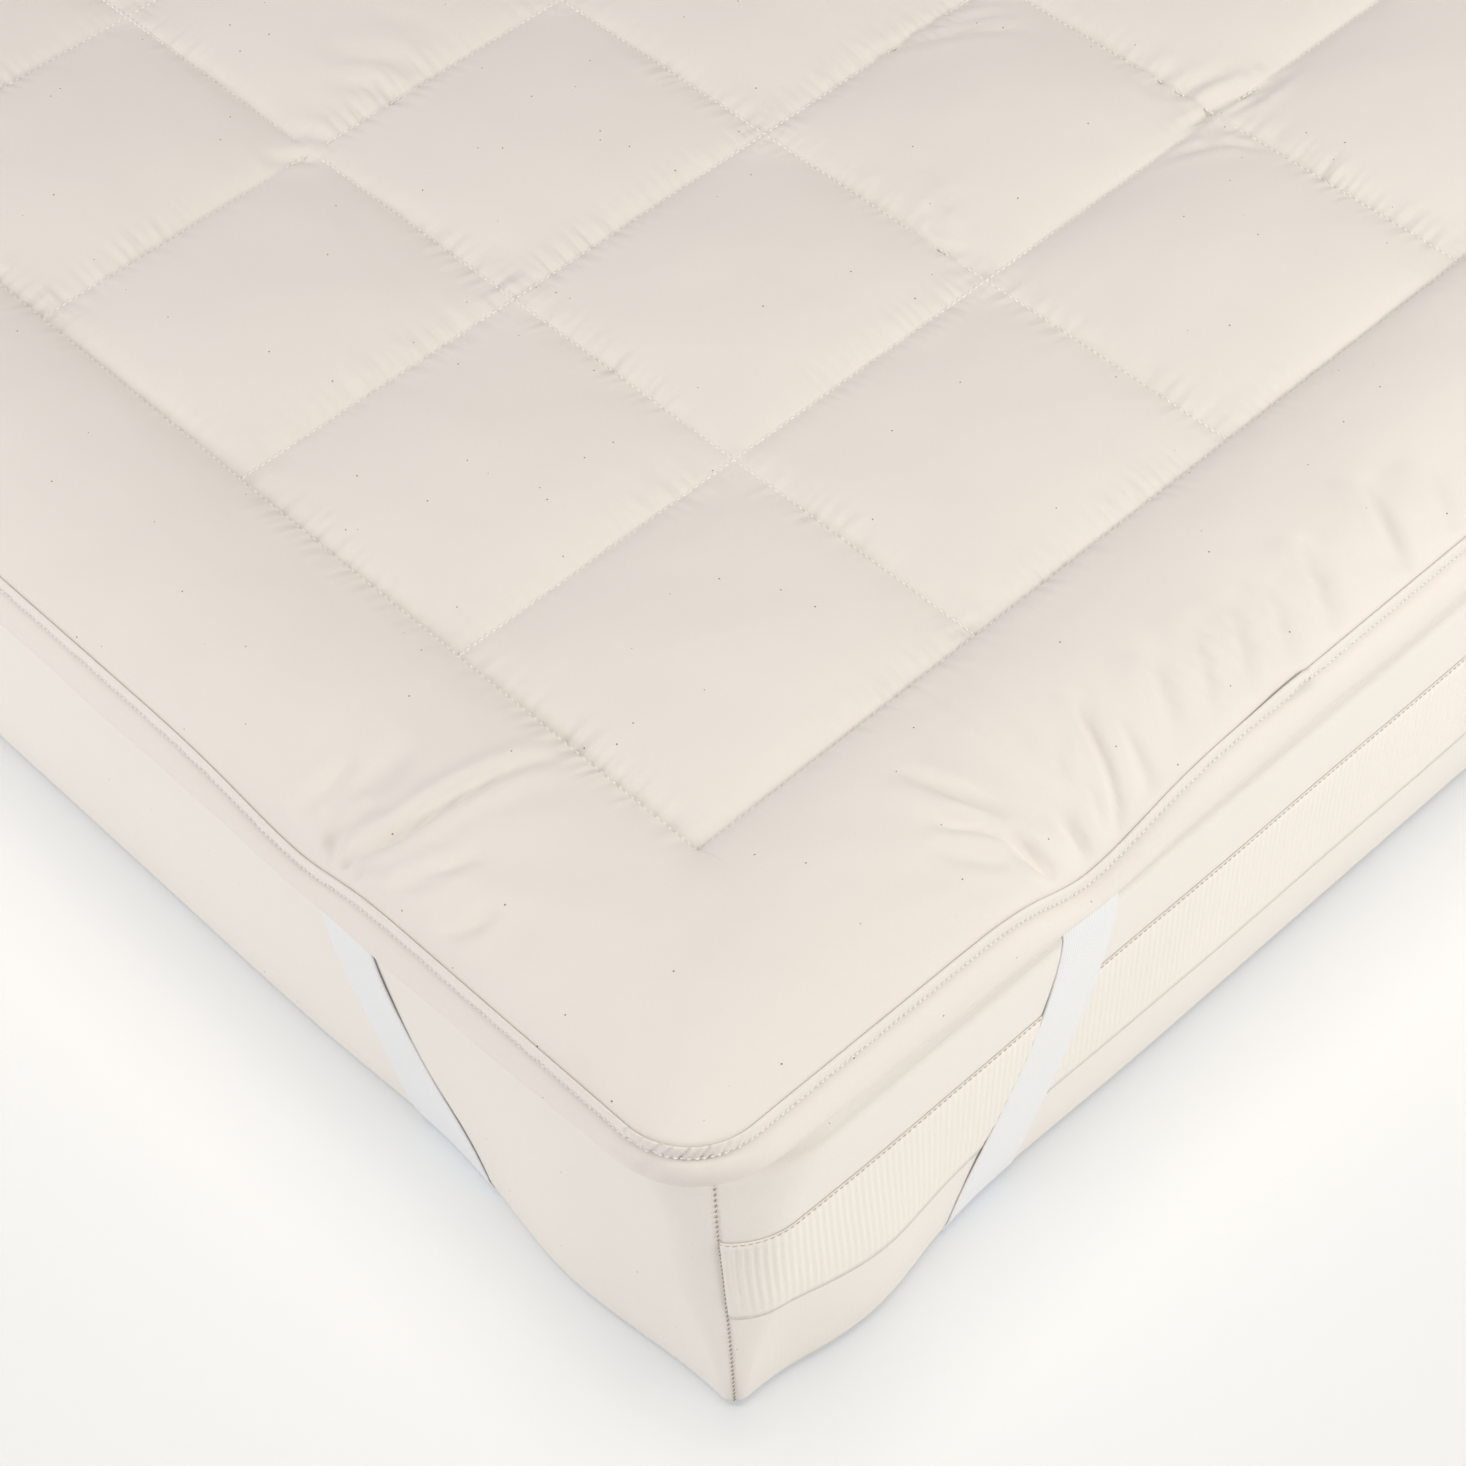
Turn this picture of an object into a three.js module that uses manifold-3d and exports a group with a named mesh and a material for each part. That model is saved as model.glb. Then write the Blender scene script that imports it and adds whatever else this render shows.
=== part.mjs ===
// A box-quilted cotton mattress pad, held on a plain mattress by four elastic corner straps.
// Millimetres, +Z up, standing on z = 0. The long side runs along X.

import * as THREE from "three";
import { mergeVertices } from "three/addons/utils/BufferGeometryUtils.js";
import Module from "manifold-3d";

// Quilting: stitched cells inside a plain border
const CELLS_ALONG_X = 10;
const CELLS_ALONG_Y = 6;
const CELL_X = 174.4;
const CELL_Y = 192.3;
const CELL_CROWN = 14;
const CELL_STEPS = [0, 0.12, 0.35, 0.65, 0.88];
const QUILT_HALF = [(CELLS_ALONG_X * CELL_X) / 2, (CELLS_ALONG_Y * CELL_Y) / 2];

// Mattress under the pad. It lies a little to one side of the pad's middle.
const MATTRESS = { centre: [3, 8], half: [1000, 695], radius: 75 };
const MATTRESS_HEIGHT = 232;
const TOP_EDGE_RADIUS = 52;
const TOP_EDGE_Z = MATTRESS_HEIGHT - TOP_EDGE_RADIUS;
const BOTTOM_EDGE_RADIUS = 18;
const BOTTOM_CORNER_RADIUS = 24;
const FULL_RADIUS_HEIGHT = 130;
const ROUNDING_STEPS = 3;
const CORNER_STEPS = 4;

// Pad edge
const FIT_GAP = 0.3;
const DRAPE_GAP = 2.2;
const PAD_AT_STITCH = 8;
const UNDERSIDE_Z = MATTRESS_HEIGHT + FIT_GAP;
const STITCH_Z = UNDERSIDE_Z + PAD_AT_STITCH;
const BORDER_WIDTH = 128;
const BORDER_CROWN = 15;
const BORDER_STEPS = [0.1, 0.3, 0.55, 0.78, 0.93, 1];
const SEAM_Z = 232.5;
const SEAM = { centre: [0, 0], half: QUILT_HALF.map((half) => half + BORDER_WIDTH), radius: 40 };

// Binding tape round the edge
const TAPE_HEIGHT = 7.5;
const TAPE_THICKNESS = 3;

// Lower lip, where the underside of the pad bulges below the tape
const LIP_BOTTOM_Z = 193;
const LIP_PROUD_OF_SEAM = 7;
const LIP_PROUD_OF_MATTRESS = 8;
const LIP_RADIUS = 55;
const LIP_STEPS = [
  { reach: 0.72, fall: 0.22 },
  { reach: 1, fall: 0.52 },
  { reach: 0.82, fall: 0.85 },
];
const LIP = outlineRoundBoth();

// Corner straps: how far from the mattress corner they hang, and how they pull the edge down
const STRAP_WIDTH = 40;
const STRAP_THICKNESS = 1.5;
const STRAP_TOP_Z = 202;
const STRAP_BEND_Z = 180;
const STRAP_BEND_POWER = 2.4;
const STRAP_SINK_ON_FACE = 0.6;
const STRAP_SINK_UNDER = STRAP_THICKNESS + FIT_GAP;
const STRAP_LEVELS = [STRAP_TOP_Z, LIP_BOTTOM_Z, TOP_EDGE_Z, 160, 130, 100, 72, 46, 30, BOTTOM_EDGE_RADIUS];
const GROOVE_GAP = 0.4;
const STRAP_ON_END = { fromCorner: 254, sweep: 92, pull: 19, pinch: 12 };
const STRAP_ON_SIDE = { fromCorner: 283, sweep: 105, pull: 12, pinch: 8 };
const PULL_HALF_WIDTH = 58;
const PINCH_HALF_WIDTH = 70;
const PINCH_TOP_Z = 150;
const CORNER_BULGE = 4;
const BULGE_FROM_CORNER = 100;
const BULGE_HALF_WIDTH = 35;
const PINCH_FOOT_Z = 20;
const CROSSING_SHARE = 0.75;
const MATTRESS_LEVELS = [60, 110];
const MATTRESS_STATIONS = [90, 125, 160, 195, 235, 300, 420];

// The four sides in order round the pad. Sides 0 and 2 are the long ones.
const SIDES = [
  { along: [1, 0], out: [0, -1] },
  { along: [0, 1], out: [1, 0] },
  { along: [-1, 0], out: [0, 1] },
  { along: [0, -1], out: [-1, 0] },
];

const COTTON = { color: 0xe9dfd2, roughness: 0.95, metalness: 0 };
const TAPE = { color: 0xece3d8, roughness: 0.9, metalness: 0 };
const ELASTIC = { color: 0xf0efee, roughness: 0.85, metalness: 0 };
const COVER = { color: 0xeee6da, roughness: 0.95, metalness: 0 };

const wasm = await Module();
wasm.setup();

// Outlines in plan: rounded rectangles, walked side by side

function dot(a, b) {
  return a[0] * b[0] + a[1] * b[1];
}

function extent(half, direction) {
  return Math.abs(half[0] * direction[0]) + Math.abs(half[1] * direction[1]);
}

// The lip is proud of the seam and of the mattress, whichever reaches further on each side.
function outlineRoundBoth() {
  const reach = (axis, sign) =>
    Math.max(
      SEAM.half[axis] + LIP_PROUD_OF_SEAM,
      MATTRESS.half[axis] + sign * MATTRESS.centre[axis] + LIP_PROUD_OF_MATTRESS,
    );
  const high = [reach(0, 1), reach(1, 1)];
  const low = [reach(0, -1), reach(1, -1)];
  return {
    centre: [(high[0] - low[0]) / 2, (high[1] - low[1]) / 2],
    half: [(high[0] + low[0]) / 2, (high[1] + low[1]) / 2],
    radius: LIP_RADIUS,
  };
}

function grown(outline, offset) {
  return {
    centre: outline.centre,
    half: outline.half.map((half) => half + offset),
    radius: Math.max(outline.radius + offset, 6),
  };
}

// A station is a place on an outline: along a side, between the quilting and the corner's
// arc, or at an angle on the arc. The same station can be found on any outline.
function pointOn(outline, station) {
  const { along, out } = SIDES[station.side];
  const middle = [dot(outline.centre, along), dot(outline.centre, out)];
  const reach = [extent(outline.half, along), extent(outline.half, out)];
  const arcStart = reach[0] - outline.radius;
  let place;
  let turn = 0;
  if (station.turn !== undefined) {
    turn = station.turn;
    place = [
      middle[0] + arcStart + outline.radius * Math.sin(turn),
      middle[1] + reach[1] - outline.radius + outline.radius * Math.cos(turn),
    ];
  } else {
    let distance = station.along;
    if (station.stretch > 0) {
      distance = THREE.MathUtils.lerp(station.along, middle[0] + arcStart, station.stretch);
    } else if (station.stretch < 0) {
      distance = THREE.MathUtils.lerp(station.along, middle[0] - arcStart, -station.stretch);
    }
    place = [distance, middle[1] + reach[1]];
  }
  return {
    x: along[0] * place[0] + out[0] * place[1],
    y: along[1] * place[0] + out[1] * place[1],
    normal: [
      along[0] * Math.sin(turn) + out[0] * Math.cos(turn),
      along[1] * Math.sin(turn) + out[1] * Math.cos(turn),
    ],
  };
}

function cornerTurns(side) {
  const stations = [];
  for (let step = 0; step <= CORNER_STEPS; step += 1) {
    stations.push({ side, turn: (step / CORNER_STEPS) * (Math.PI / 2) });
  }
  return stations;
}

function isLong(side) {
  return side % 2 === 0;
}

function strapOn(side) {
  return isLong(side) ? STRAP_ON_SIDE : STRAP_ON_END;
}

// Distance from the nearer corner of the mattress, measured along a side
function fromCorner(side, point) {
  const { along } = SIDES[side];
  const place = dot([point.x, point.y], along) - dot(MATTRESS.centre, along);
  return extent(MATTRESS.half, along) - Math.abs(place);
}

function bump(distance, halfWidth) {
  return Math.exp(-((distance / halfWidth) ** 2));
}

// Surfaces

function dome(share) {
  return Math.sqrt(Math.max(0, 4 * share * (1 - share)));
}

function pullDown(side, point) {
  const strap = strapOn(side);
  return strap.pull * bump(fromCorner(side, point) - strap.fromCorner, PULL_HALF_WIDTH);
}

// How far the straps draw the lower edge of the mattress in, and how it swells beside them
function mattressPinch(side, distance, z) {
  const low = 1 - THREE.MathUtils.smoothstep(z, PINCH_FOOT_Z, PINCH_TOP_Z);
  const strap = strapOn(side);
  const crossing = strap.fromCorner - strap.sweep * CROSSING_SHARE;
  const drawnIn = strap.pinch * bump(distance - crossing, PINCH_HALF_WIDTH);
  const swell = CORNER_BULGE * bump(distance - BULGE_FROM_CORNER, BULGE_HALF_WIDTH);
  return low * (swell - drawnIn);
}

// The section of the mattress: how far inside its upright face it lies at each height
function roundedEdges() {
  const section = [];
  for (let step = 0; step <= ROUNDING_STEPS; step += 1) {
    const angle = (1 - step / ROUNDING_STEPS) * (Math.PI / 2);
    section.push({
      inset: BOTTOM_EDGE_RADIUS * (Math.cos(angle) - 1),
      z: BOTTOM_EDGE_RADIUS * (1 - Math.sin(angle)),
    });
  }
  for (const z of MATTRESS_LEVELS) section.push({ inset: 0, z });
  for (let step = 0; step <= ROUNDING_STEPS; step += 1) {
    const angle = (step / ROUNDING_STEPS) * (Math.PI / 2);
    section.push(topEdge(angle, 0));
  }
  return section;
}

const SECTION = roundedEdges();

function topEdge(angle, gap) {
  const radius = TOP_EDGE_RADIUS + gap;
  return {
    inset: radius * Math.cos(angle) - TOP_EDGE_RADIUS,
    z: MATTRESS_HEIGHT - TOP_EDGE_RADIUS + radius * Math.sin(angle),
  };
}

function insetAt(z) {
  for (let row = 1; row < SECTION.length; row += 1) {
    const low = SECTION[row - 1];
    const high = SECTION[row];
    if (z <= high.z) {
      const share = (z - low.z) / (high.z - low.z);
      return THREE.MathUtils.lerp(low.inset, high.inset, share);
    }
  }
  return SECTION[SECTION.length - 1].inset;
}

function mattressOutline(inset, z) {
  const share = THREE.MathUtils.smoothstep(z, 0, FULL_RADIUS_HEIGHT);
  const radius = THREE.MathUtils.lerp(BOTTOM_CORNER_RADIUS, MATTRESS.radius, share);
  return grown({ ...MATTRESS, radius }, inset);
}

// Meshes

function meshOf(name, positions, triangles, finish) {
  const geometry = new THREE.BufferGeometry();
  geometry.setAttribute("position", new THREE.Float32BufferAttribute(positions, 3));
  geometry.setIndex(triangles);
  geometry.computeVertexNormals();
  const mesh = new THREE.Mesh(geometry, new THREE.MeshStandardMaterial(finish));
  mesh.name = name;
  return mesh;
}

// Joins two rings of vertex numbers of one length with triangles that face outwards
// when the rings run anticlockwise seen from above and the second lies below the first.
function joinRings(triangles, upper, lower) {
  for (let i = 0; i < upper.length; i += 1) {
    const next = (i + 1) % upper.length;
    if (lower[i] !== lower[next]) triangles.push(upper[i], lower[i], lower[next]);
    if (upper[i] !== upper[next]) triangles.push(upper[i], lower[next], upper[next]);
  }
}

function cap(triangles, ring, positions, facesUp) {
  const contour = ring.map((v) => new THREE.Vector2(positions[3 * v], positions[3 * v + 1]));
  for (const [a, b, c] of THREE.ShapeUtils.triangulateShape(contour, [])) {
    const around = facesUp ? [a, b, c] : [a, c, b];
    triangles.push(...around.map((corner) => ring[corner]));
  }
}

function gridLines(cells, pitch) {
  const lines = [];
  for (let cell = 0; cell < cells; cell += 1) {
    for (const step of CELL_STEPS) lines.push((cell + step - cells / 2) * pitch);
  }
  lines.push((cells / 2) * pitch);
  return lines;
}

function cellShare(value, cells, pitch) {
  const share = value / pitch + cells / 2;
  return share - Math.floor(Math.min(share, cells - 1e-9));
}

function quiltedHeight(x, y) {
  const u = cellShare(x, CELLS_ALONG_X, CELL_X);
  const v = cellShare(y, CELLS_ALONG_Y, CELL_Y);
  return STITCH_Z + CELL_CROWN * dome(u) * dome(v);
}

function borderHeight(share, pull) {
  const roll = (STITCH_Z - SEAM_Z) * share ** 4;
  return STITCH_Z + BORDER_CROWN * dome(share) ** 1.3 - roll - pull * share ** 3;
}

// Stations round the pad, each with the quilting's vertex that its border starts from
function padStations(xs, ys, vertexAt) {
  const lastX = xs.length - 1;
  const lastY = ys.length - 1;
  const edges = [
    xs.map((x, i) => ({ along: x, anchor: vertexAt(i, 0) })),
    ys.map((y, j) => ({ along: y, anchor: vertexAt(lastX, j) })),
    xs.map((x, i) => ({ along: x, anchor: vertexAt(lastX - i, lastY) })),
    ys.map((y, j) => ({ along: y, anchor: vertexAt(0, lastY - j) })),
  ];
  return edges.flatMap((edge, side) => {
    const first = edge[0];
    const last = edge[edge.length - 1];
    return [
      { side, along: first.along, stretch: -0.5, anchor: first.anchor },
      ...edge.map((place) => ({ side, stretch: 0, ...place })),
      { side, along: last.along, stretch: 0.5, anchor: last.anchor },
      ...cornerTurns(side).map((station) => ({ ...station, anchor: last.anchor })),
    ];
  });
}

function makePad() {
  const xs = gridLines(CELLS_ALONG_X, CELL_X);
  const ys = gridLines(CELLS_ALONG_Y, CELL_Y);
  const positions = [];
  const triangles = [];
  const vertexAt = (i, j) => j * xs.length + i;
  for (const y of ys) {
    for (const x of xs) positions.push(x, y, quiltedHeight(x, y));
  }
  for (let j = 0; j + 1 < ys.length; j += 1) {
    for (let i = 0; i + 1 < xs.length; i += 1) {
      const [a, b, c, d] = [
        vertexAt(i, j),
        vertexAt(i + 1, j),
        vertexAt(i + 1, j + 1),
        vertexAt(i, j + 1),
      ];
      triangles.push(a, b, c, a, c, d);
    }
  }

  const stations = padStations(xs, ys, vertexAt);
  const addRing = (placeOf) =>
    stations.map((station) => {
      positions.push(...placeOf(station));
      return positions.length / 3 - 1;
    });
  const rings = [stations.map((station) => station.anchor)];
  for (const share of BORDER_STEPS) {
    rings.push(
      addRing((station) => {
        const seam = pointOn(SEAM, station);
        const start = positions.slice(3 * station.anchor, 3 * station.anchor + 2);
        return [
          THREE.MathUtils.lerp(start[0], seam.x, share),
          THREE.MathUtils.lerp(start[1], seam.y, share),
          borderHeight(share, pullDown(station.side, seam)),
        ];
      }),
    );
  }
  const wallBottom = (station) => {
    const seam = pointOn(SEAM, station);
    const z = SEAM_Z - pullDown(station.side, seam) - TAPE_HEIGHT - 2 * FIT_GAP;
    return [seam.x, seam.y, z];
  };
  rings.push(addRing(wallBottom));
  for (const { reach, fall } of LIP_STEPS) {
    rings.push(
      addRing((station) => {
        const [x, y, z] = wallBottom(station);
        const lip = pointOn(LIP, station);
        return [
          THREE.MathUtils.lerp(x, lip.x, reach),
          THREE.MathUtils.lerp(y, lip.y, reach),
          THREE.MathUtils.lerp(z, LIP_BOTTOM_Z, fall),
        ];
      }),
    );
  }
  const underside = [{ inset: DRAPE_GAP, z: LIP_BOTTOM_Z }];
  for (let step = 1; step <= ROUNDING_STEPS; step += 1) {
    underside.push(topEdge((step / ROUNDING_STEPS) * (Math.PI / 2), DRAPE_GAP));
  }
  underside.push({ inset: -TOP_EDGE_RADIUS - 5 * DRAPE_GAP, z: UNDERSIDE_Z });
  for (const { inset, z } of underside) {
    rings.push(
      addRing((station) => {
        const point = pointOn(grown(MATTRESS, inset), station);
        return [point.x, point.y, z];
      }),
    );
  }
  for (let ring = 0; ring + 1 < rings.length; ring += 1) {
    joinRings(triangles, rings[ring], rings[ring + 1]);
  }
  cap(triangles, rings[rings.length - 1], positions, false);
  return meshOf("pad", positions, triangles, COTTON);
}

function makeTape() {
  const xs = gridLines(CELLS_ALONG_X, CELL_X);
  const ys = gridLines(CELLS_ALONG_Y, CELL_Y);
  const stations = padStations(xs, ys, () => 0);
  const positions = [];
  const triangles = [];
  const section = [
    { out: FIT_GAP, down: 0 },
    { out: FIT_GAP + TAPE_THICKNESS, down: 0 },
    { out: FIT_GAP + TAPE_THICKNESS, down: TAPE_HEIGHT },
    { out: FIT_GAP, down: TAPE_HEIGHT },
  ];
  const rings = section.map(({ out, down }) =>
    stations.map((station) => {
      const seam = pointOn(SEAM, station);
      positions.push(
        seam.x + seam.normal[0] * out,
        seam.y + seam.normal[1] * out,
        SEAM_Z - pullDown(station.side, seam) - down,
      );
      return positions.length / 3 - 1;
    }),
  );
  rings.forEach((ring, i) => joinRings(triangles, ring, rings[(i + 1) % rings.length]));
  return meshOf("binding_tape", positions, triangles, TAPE);
}

// Places round the mattress, close together where a strap crosses its edge
function mattressStations() {
  return SIDES.flatMap(({ along }, side) => {
    const half = extent(MATTRESS.half, along);
    const middle = dot(MATTRESS.centre, along);
    const inner = MATTRESS_STATIONS.filter((distance) => distance < half);
    const distances = [...inner.map((d) => d - half), 0, ...inner.toReversed().map((d) => half - d)];
    return [
      ...distances.map((distance) => ({ side, along: middle + distance, stretch: 0 })),
      ...cornerTurns(side),
    ];
  });
}

function makeMattressMesh() {
  const stations = mattressStations();
  const positions = [];
  const triangles = [];
  const rings = SECTION.map(({ inset, z }) =>
    stations.map((station) => {
      const point = pointOn(mattressOutline(inset, z), station);
      const distance = fromCorner(station.side, point);
      const swell = station.turn === undefined ? mattressPinch(station.side, distance, z) : 0;
      positions.push(point.x + point.normal[0] * swell, point.y + point.normal[1] * swell, z);
      return positions.length / 3 - 1;
    }),
  );
  for (let ring = 0; ring + 1 < rings.length; ring += 1) {
    joinRings(triangles, rings[ring + 1], rings[ring]);
  }
  cap(triangles, rings[0], positions, false);
  cap(triangles, rings[rings.length - 1], positions, true);
  return meshOf("mattress", positions, triangles, COVER);
}

// Straps

// A point on the mattress beside a corner, with the way its surface faces there. It is given
// by a face, the distance from the corner along it, and the girth up from where the bottom
// edge begins to round, which is negative below that.
function onFace(corner, face, distance, girth) {
  const other = 1 - face;
  const side = face === 0 ? 1 : 0;
  const round = THREE.MathUtils.clamp(-girth / BOTTOM_EDGE_RADIUS, 0, Math.PI / 2);
  const z = Math.max(girth, 0) + BOTTOM_EDGE_RADIUS * (1 - Math.sin(round));
  const inset = insetAt(z) + mattressPinch(side, distance, z);
  const lean = z > TOP_EDGE_Z ? Math.PI / (4 * ROUNDING_STEPS) : -round;
  const point = [0, 0, z];
  point[face] = MATTRESS.centre[face] + corner[face] * (MATTRESS.half[face] + inset);
  point[other] = MATTRESS.centre[other] + corner[other] * (MATTRESS.half[other] - distance);
  const normal = [0, 0, Math.sin(lean)];
  normal[face] = corner[face] * Math.cos(lean);
  return { point: new THREE.Vector3(...point), normal: new THREE.Vector3(...normal) };
}

// Distance of a strap's middle from the corner, on the upright part of a face
function strapDistance(strap, z) {
  const share = Math.max(0, STRAP_BEND_Z - z) / STRAP_BEND_Z;
  return strap.fromCorner - strap.sweep * share ** STRAP_BEND_POWER;
}

// How much nearer the corner a strap comes for each millimetre that it goes down
function strapSlope(strap, z) {
  const step = 1;
  return (strapDistance(strap, z + step) - strapDistance(strap, z - step)) / (2 * step);
}

// Level cuts across a strap, down one face and round its bottom edge. Under the mattress it
// runs straight from one face to the other, which fixes its slope round both edges.
function strapDownFace(corner, face, halfWidth) {
  const strap = face === 0 ? STRAP_ON_END : STRAP_ON_SIDE;
  const otherStrap = face === 0 ? STRAP_ON_SIDE : STRAP_ON_END;
  const cut = (middle, girth, slope, sink) => {
    const reach = halfWidth * Math.hypot(1, slope);
    const ends = [middle - reach, middle + reach].map((d) => onFace(corner, face, d, girth));
    return { ends, sink };
  };
  const cuts = STRAP_LEVELS.map((z) =>
    cut(strapDistance(strap, z), z - BOTTOM_EDGE_RADIUS, strapSlope(strap, z), STRAP_SINK_ON_FACE),
  );
  const edge = BOTTOM_EDGE_RADIUS * (Math.PI / 2 - 1);
  const slope =
    (strapDistance(strap, BOTTOM_EDGE_RADIUS) + edge) /
    (strapDistance(otherStrap, BOTTOM_EDGE_RADIUS) + edge);
  for (let step = 1; step <= ROUNDING_STEPS; step += 1) {
    const girth = -BOTTOM_EDGE_RADIUS * (step / ROUNDING_STEPS) * (Math.PI / 2);
    const middle = strapDistance(strap, BOTTOM_EDGE_RADIUS) + slope * girth;
    const sink = THREE.MathUtils.lerp(STRAP_SINK_ON_FACE, STRAP_SINK_UNDER, step / ROUNDING_STEPS);
    cuts.push(cut(middle, girth, slope, sink));
  }
  return cuts;
}

function strapCuts(corner, halfWidth) {
  const there = strapDownFace(corner, 0, halfWidth);
  const back = strapDownFace(corner, 1, halfWidth).toReversed();
  const [from, to] = [there[there.length - 1], back[0]].map(({ ends }) =>
    ends[0].point.clone().add(ends[1].point).multiplyScalar(0.5),
  );
  const forward = to.clone().sub(from).normalize();
  const down = new THREE.Vector3(0, 0, -1);
  const away = new THREE.Vector3(-corner[0], -corner[1], 0);
  const across = new THREE.Vector3().crossVectors(forward, down);
  if (across.dot(away) < 0) across.negate();
  const middle = from.clone().add(to).multiplyScalar(0.5);
  const ends = [-halfWidth, halfWidth].map((reach) => ({
    point: middle.clone().addScaledVector(across, reach),
    normal: down,
  }));
  return [...there, { ends, sink: STRAP_SINK_UNDER }, ...back];
}

// A flat band from inner to outer above the surface that the cuts lie on. Its faces point
// outwards at two of the corners and are turned round at the others.
function strapBand(name, corner, halfWidth, inner, outer) {
  const positions = [];
  const triangles = [];
  const cuts = strapCuts(corner, halfWidth);
  const add = (...around) => {
    if (corner[0] * corner[1] > 0) around.reverse();
    for (let i = 1; i + 1 < around.length; i += 1) {
      triangles.push(around[0], around[i], around[i + 1]);
    }
  };
  for (const { ends, sink } of cuts) {
    for (const [end, height] of [
      [0, inner],
      [1, inner],
      [1, outer],
      [0, outer],
    ]) {
      const place = ends[end].point.clone().addScaledVector(ends[end].normal, height - sink);
      positions.push(place.x, place.y, place.z);
    }
  }
  for (let i = 0; i + 1 < cuts.length; i += 1) {
    for (let edge = 0; edge < 4; edge += 1) {
      const [a, b] = [4 * i + edge, 4 * i + ((edge + 1) % 4)];
      add(a, b, b + 4, a + 4);
    }
  }
  const last = 4 * (cuts.length - 1);
  add(3, 2, 1, 0);
  add(last, last + 1, last + 2, last + 3);
  return meshOf(name, positions, triangles, ELASTIC);
}

// Joins and cuts

function solidOf(mesh) {
  const bare = mesh.geometry.clone();
  bare.deleteAttribute("normal");
  const merged = mergeVertices(bare, 1e-4);
  return new wasm.Manifold(
    new wasm.Mesh({
      numProp: 3,
      vertProperties: new Float32Array(merged.attributes.position.array),
      triVerts: new Uint32Array(merged.index.array),
    }),
  );
}

function meshFromSolid(name, solid, finish) {
  const { vertProperties, triVerts } = solid.getMesh();
  return meshOf(name, Array.from(vertProperties), Array.from(triVerts), finish);
}

const CORNERS = [
  [1, -1],
  [1, 1],
  [-1, 1],
  [-1, -1],
];

function makeStraps() {
  return CORNERS.map((corner, i) =>
    strapBand(`corner_strap_${i + 1}`, corner, STRAP_WIDTH / 2, 0, STRAP_THICKNESS),
  );
}

// The mattress gives way under the straps, so each lies in a shallow groove.
function makeMattress() {
  let solid = solidOf(makeMattressMesh());
  for (const corner of CORNERS) {
    const groove = strapBand(
      "groove",
      corner,
      STRAP_WIDTH / 2 + GROOVE_GAP,
      -GROOVE_GAP,
      3 * STRAP_THICKNESS,
    );
    solid = solid.subtract(solidOf(groove));
  }
  return meshFromSolid("mattress", solid, COVER);
}

// The part stands on the floor with the middle of its outline over the origin.
const part = new THREE.Group();
part.add(makePad(), makeTape(), ...makeStraps(), makeMattress());
part.position.set(-LIP.centre[0], -LIP.centre[1], 0);

export default part;
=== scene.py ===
"""A box-quilted cotton mattress pad on a plain mattress, held by elastic corner straps."""

import math
import random
from collections import namedtuple

import bmesh
import bpy
from mathutils import Matrix, Vector, noise


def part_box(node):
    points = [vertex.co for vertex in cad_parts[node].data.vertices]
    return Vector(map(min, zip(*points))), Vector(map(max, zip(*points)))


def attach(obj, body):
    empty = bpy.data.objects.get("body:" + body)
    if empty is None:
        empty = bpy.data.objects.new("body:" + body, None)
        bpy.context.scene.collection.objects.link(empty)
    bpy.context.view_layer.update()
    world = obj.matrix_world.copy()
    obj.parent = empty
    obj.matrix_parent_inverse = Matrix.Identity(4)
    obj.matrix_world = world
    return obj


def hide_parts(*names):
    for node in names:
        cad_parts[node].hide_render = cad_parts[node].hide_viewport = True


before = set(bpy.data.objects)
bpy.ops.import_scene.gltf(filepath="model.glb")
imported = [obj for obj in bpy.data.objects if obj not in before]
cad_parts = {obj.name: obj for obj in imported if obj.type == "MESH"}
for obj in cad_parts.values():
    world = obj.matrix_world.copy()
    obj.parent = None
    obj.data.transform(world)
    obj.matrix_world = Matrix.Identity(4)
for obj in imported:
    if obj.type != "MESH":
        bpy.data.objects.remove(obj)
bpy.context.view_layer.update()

# Sizes in millimetres, in the pad's plan: the middle of the quilting is at the origin and
# the floor at z = 0. MM and the tape's box place them in the frame.
MM = 0.001
QUILT_CELLS = (10, 6)
CELL = (174.4, 192.3)
QUILT = tuple(n * size / 2 for n, size in zip(QUILT_CELLS, CELL))
BORDER = 128.0
SEAM_HALF = (QUILT[0] + BORDER, QUILT[1] + BORDER)
SEAM_RADIUS = 40.0
SEAM_Z = 232.5
SEAM_CORNER_RISE = 3.0
SEAM_CORNER_REACH = 140
STITCH_Z = 240.3
UNDERSIDE_Z = 232.4
CELL_CROWN = 14.5
CELL_POWER = 0.56
CREASE = 2.2
BORDER_CROWN = 15.0
BORDER_POWER = 0.62
BORDER_LEAN = 0.12
SEAM_EASE = 6
# The pad's grid: how many steps cross each row of cells and the borders, near the first corner
# and far from it, and how closely the lines crowd beside the stitches
STEPS_X = (10, 10, 10, 11, 13, 16, 24, 32, 42, 60)
STEPS_Y = (64, 42, 34, 28, 14, 12)
BORDER_STEPS = (46, 16)
EVEN, CROWDED = 0.3, 0.68

TAPE_HEIGHT = 7.5
TAPE_GAP = 0.3
TAPE_SCALLOP = 0.28
# Heights and lengths of its slow sag and of its unevenness
TAPE_SAG, SAG_LENGTH = 0.35, 40
TAPE_UNEVEN, UNEVEN_LENGTHS = 0.30, (11, 7)
TAPE_TUCK, TAPE_TUCK_MOST = 0.8, 1.2
LIP_TUCK = 0.2

LIP_BOTTOM_Z = 193.0
LIP_CORNER_RISE = 15.0
LIP_CORNER_REACH = 130
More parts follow.
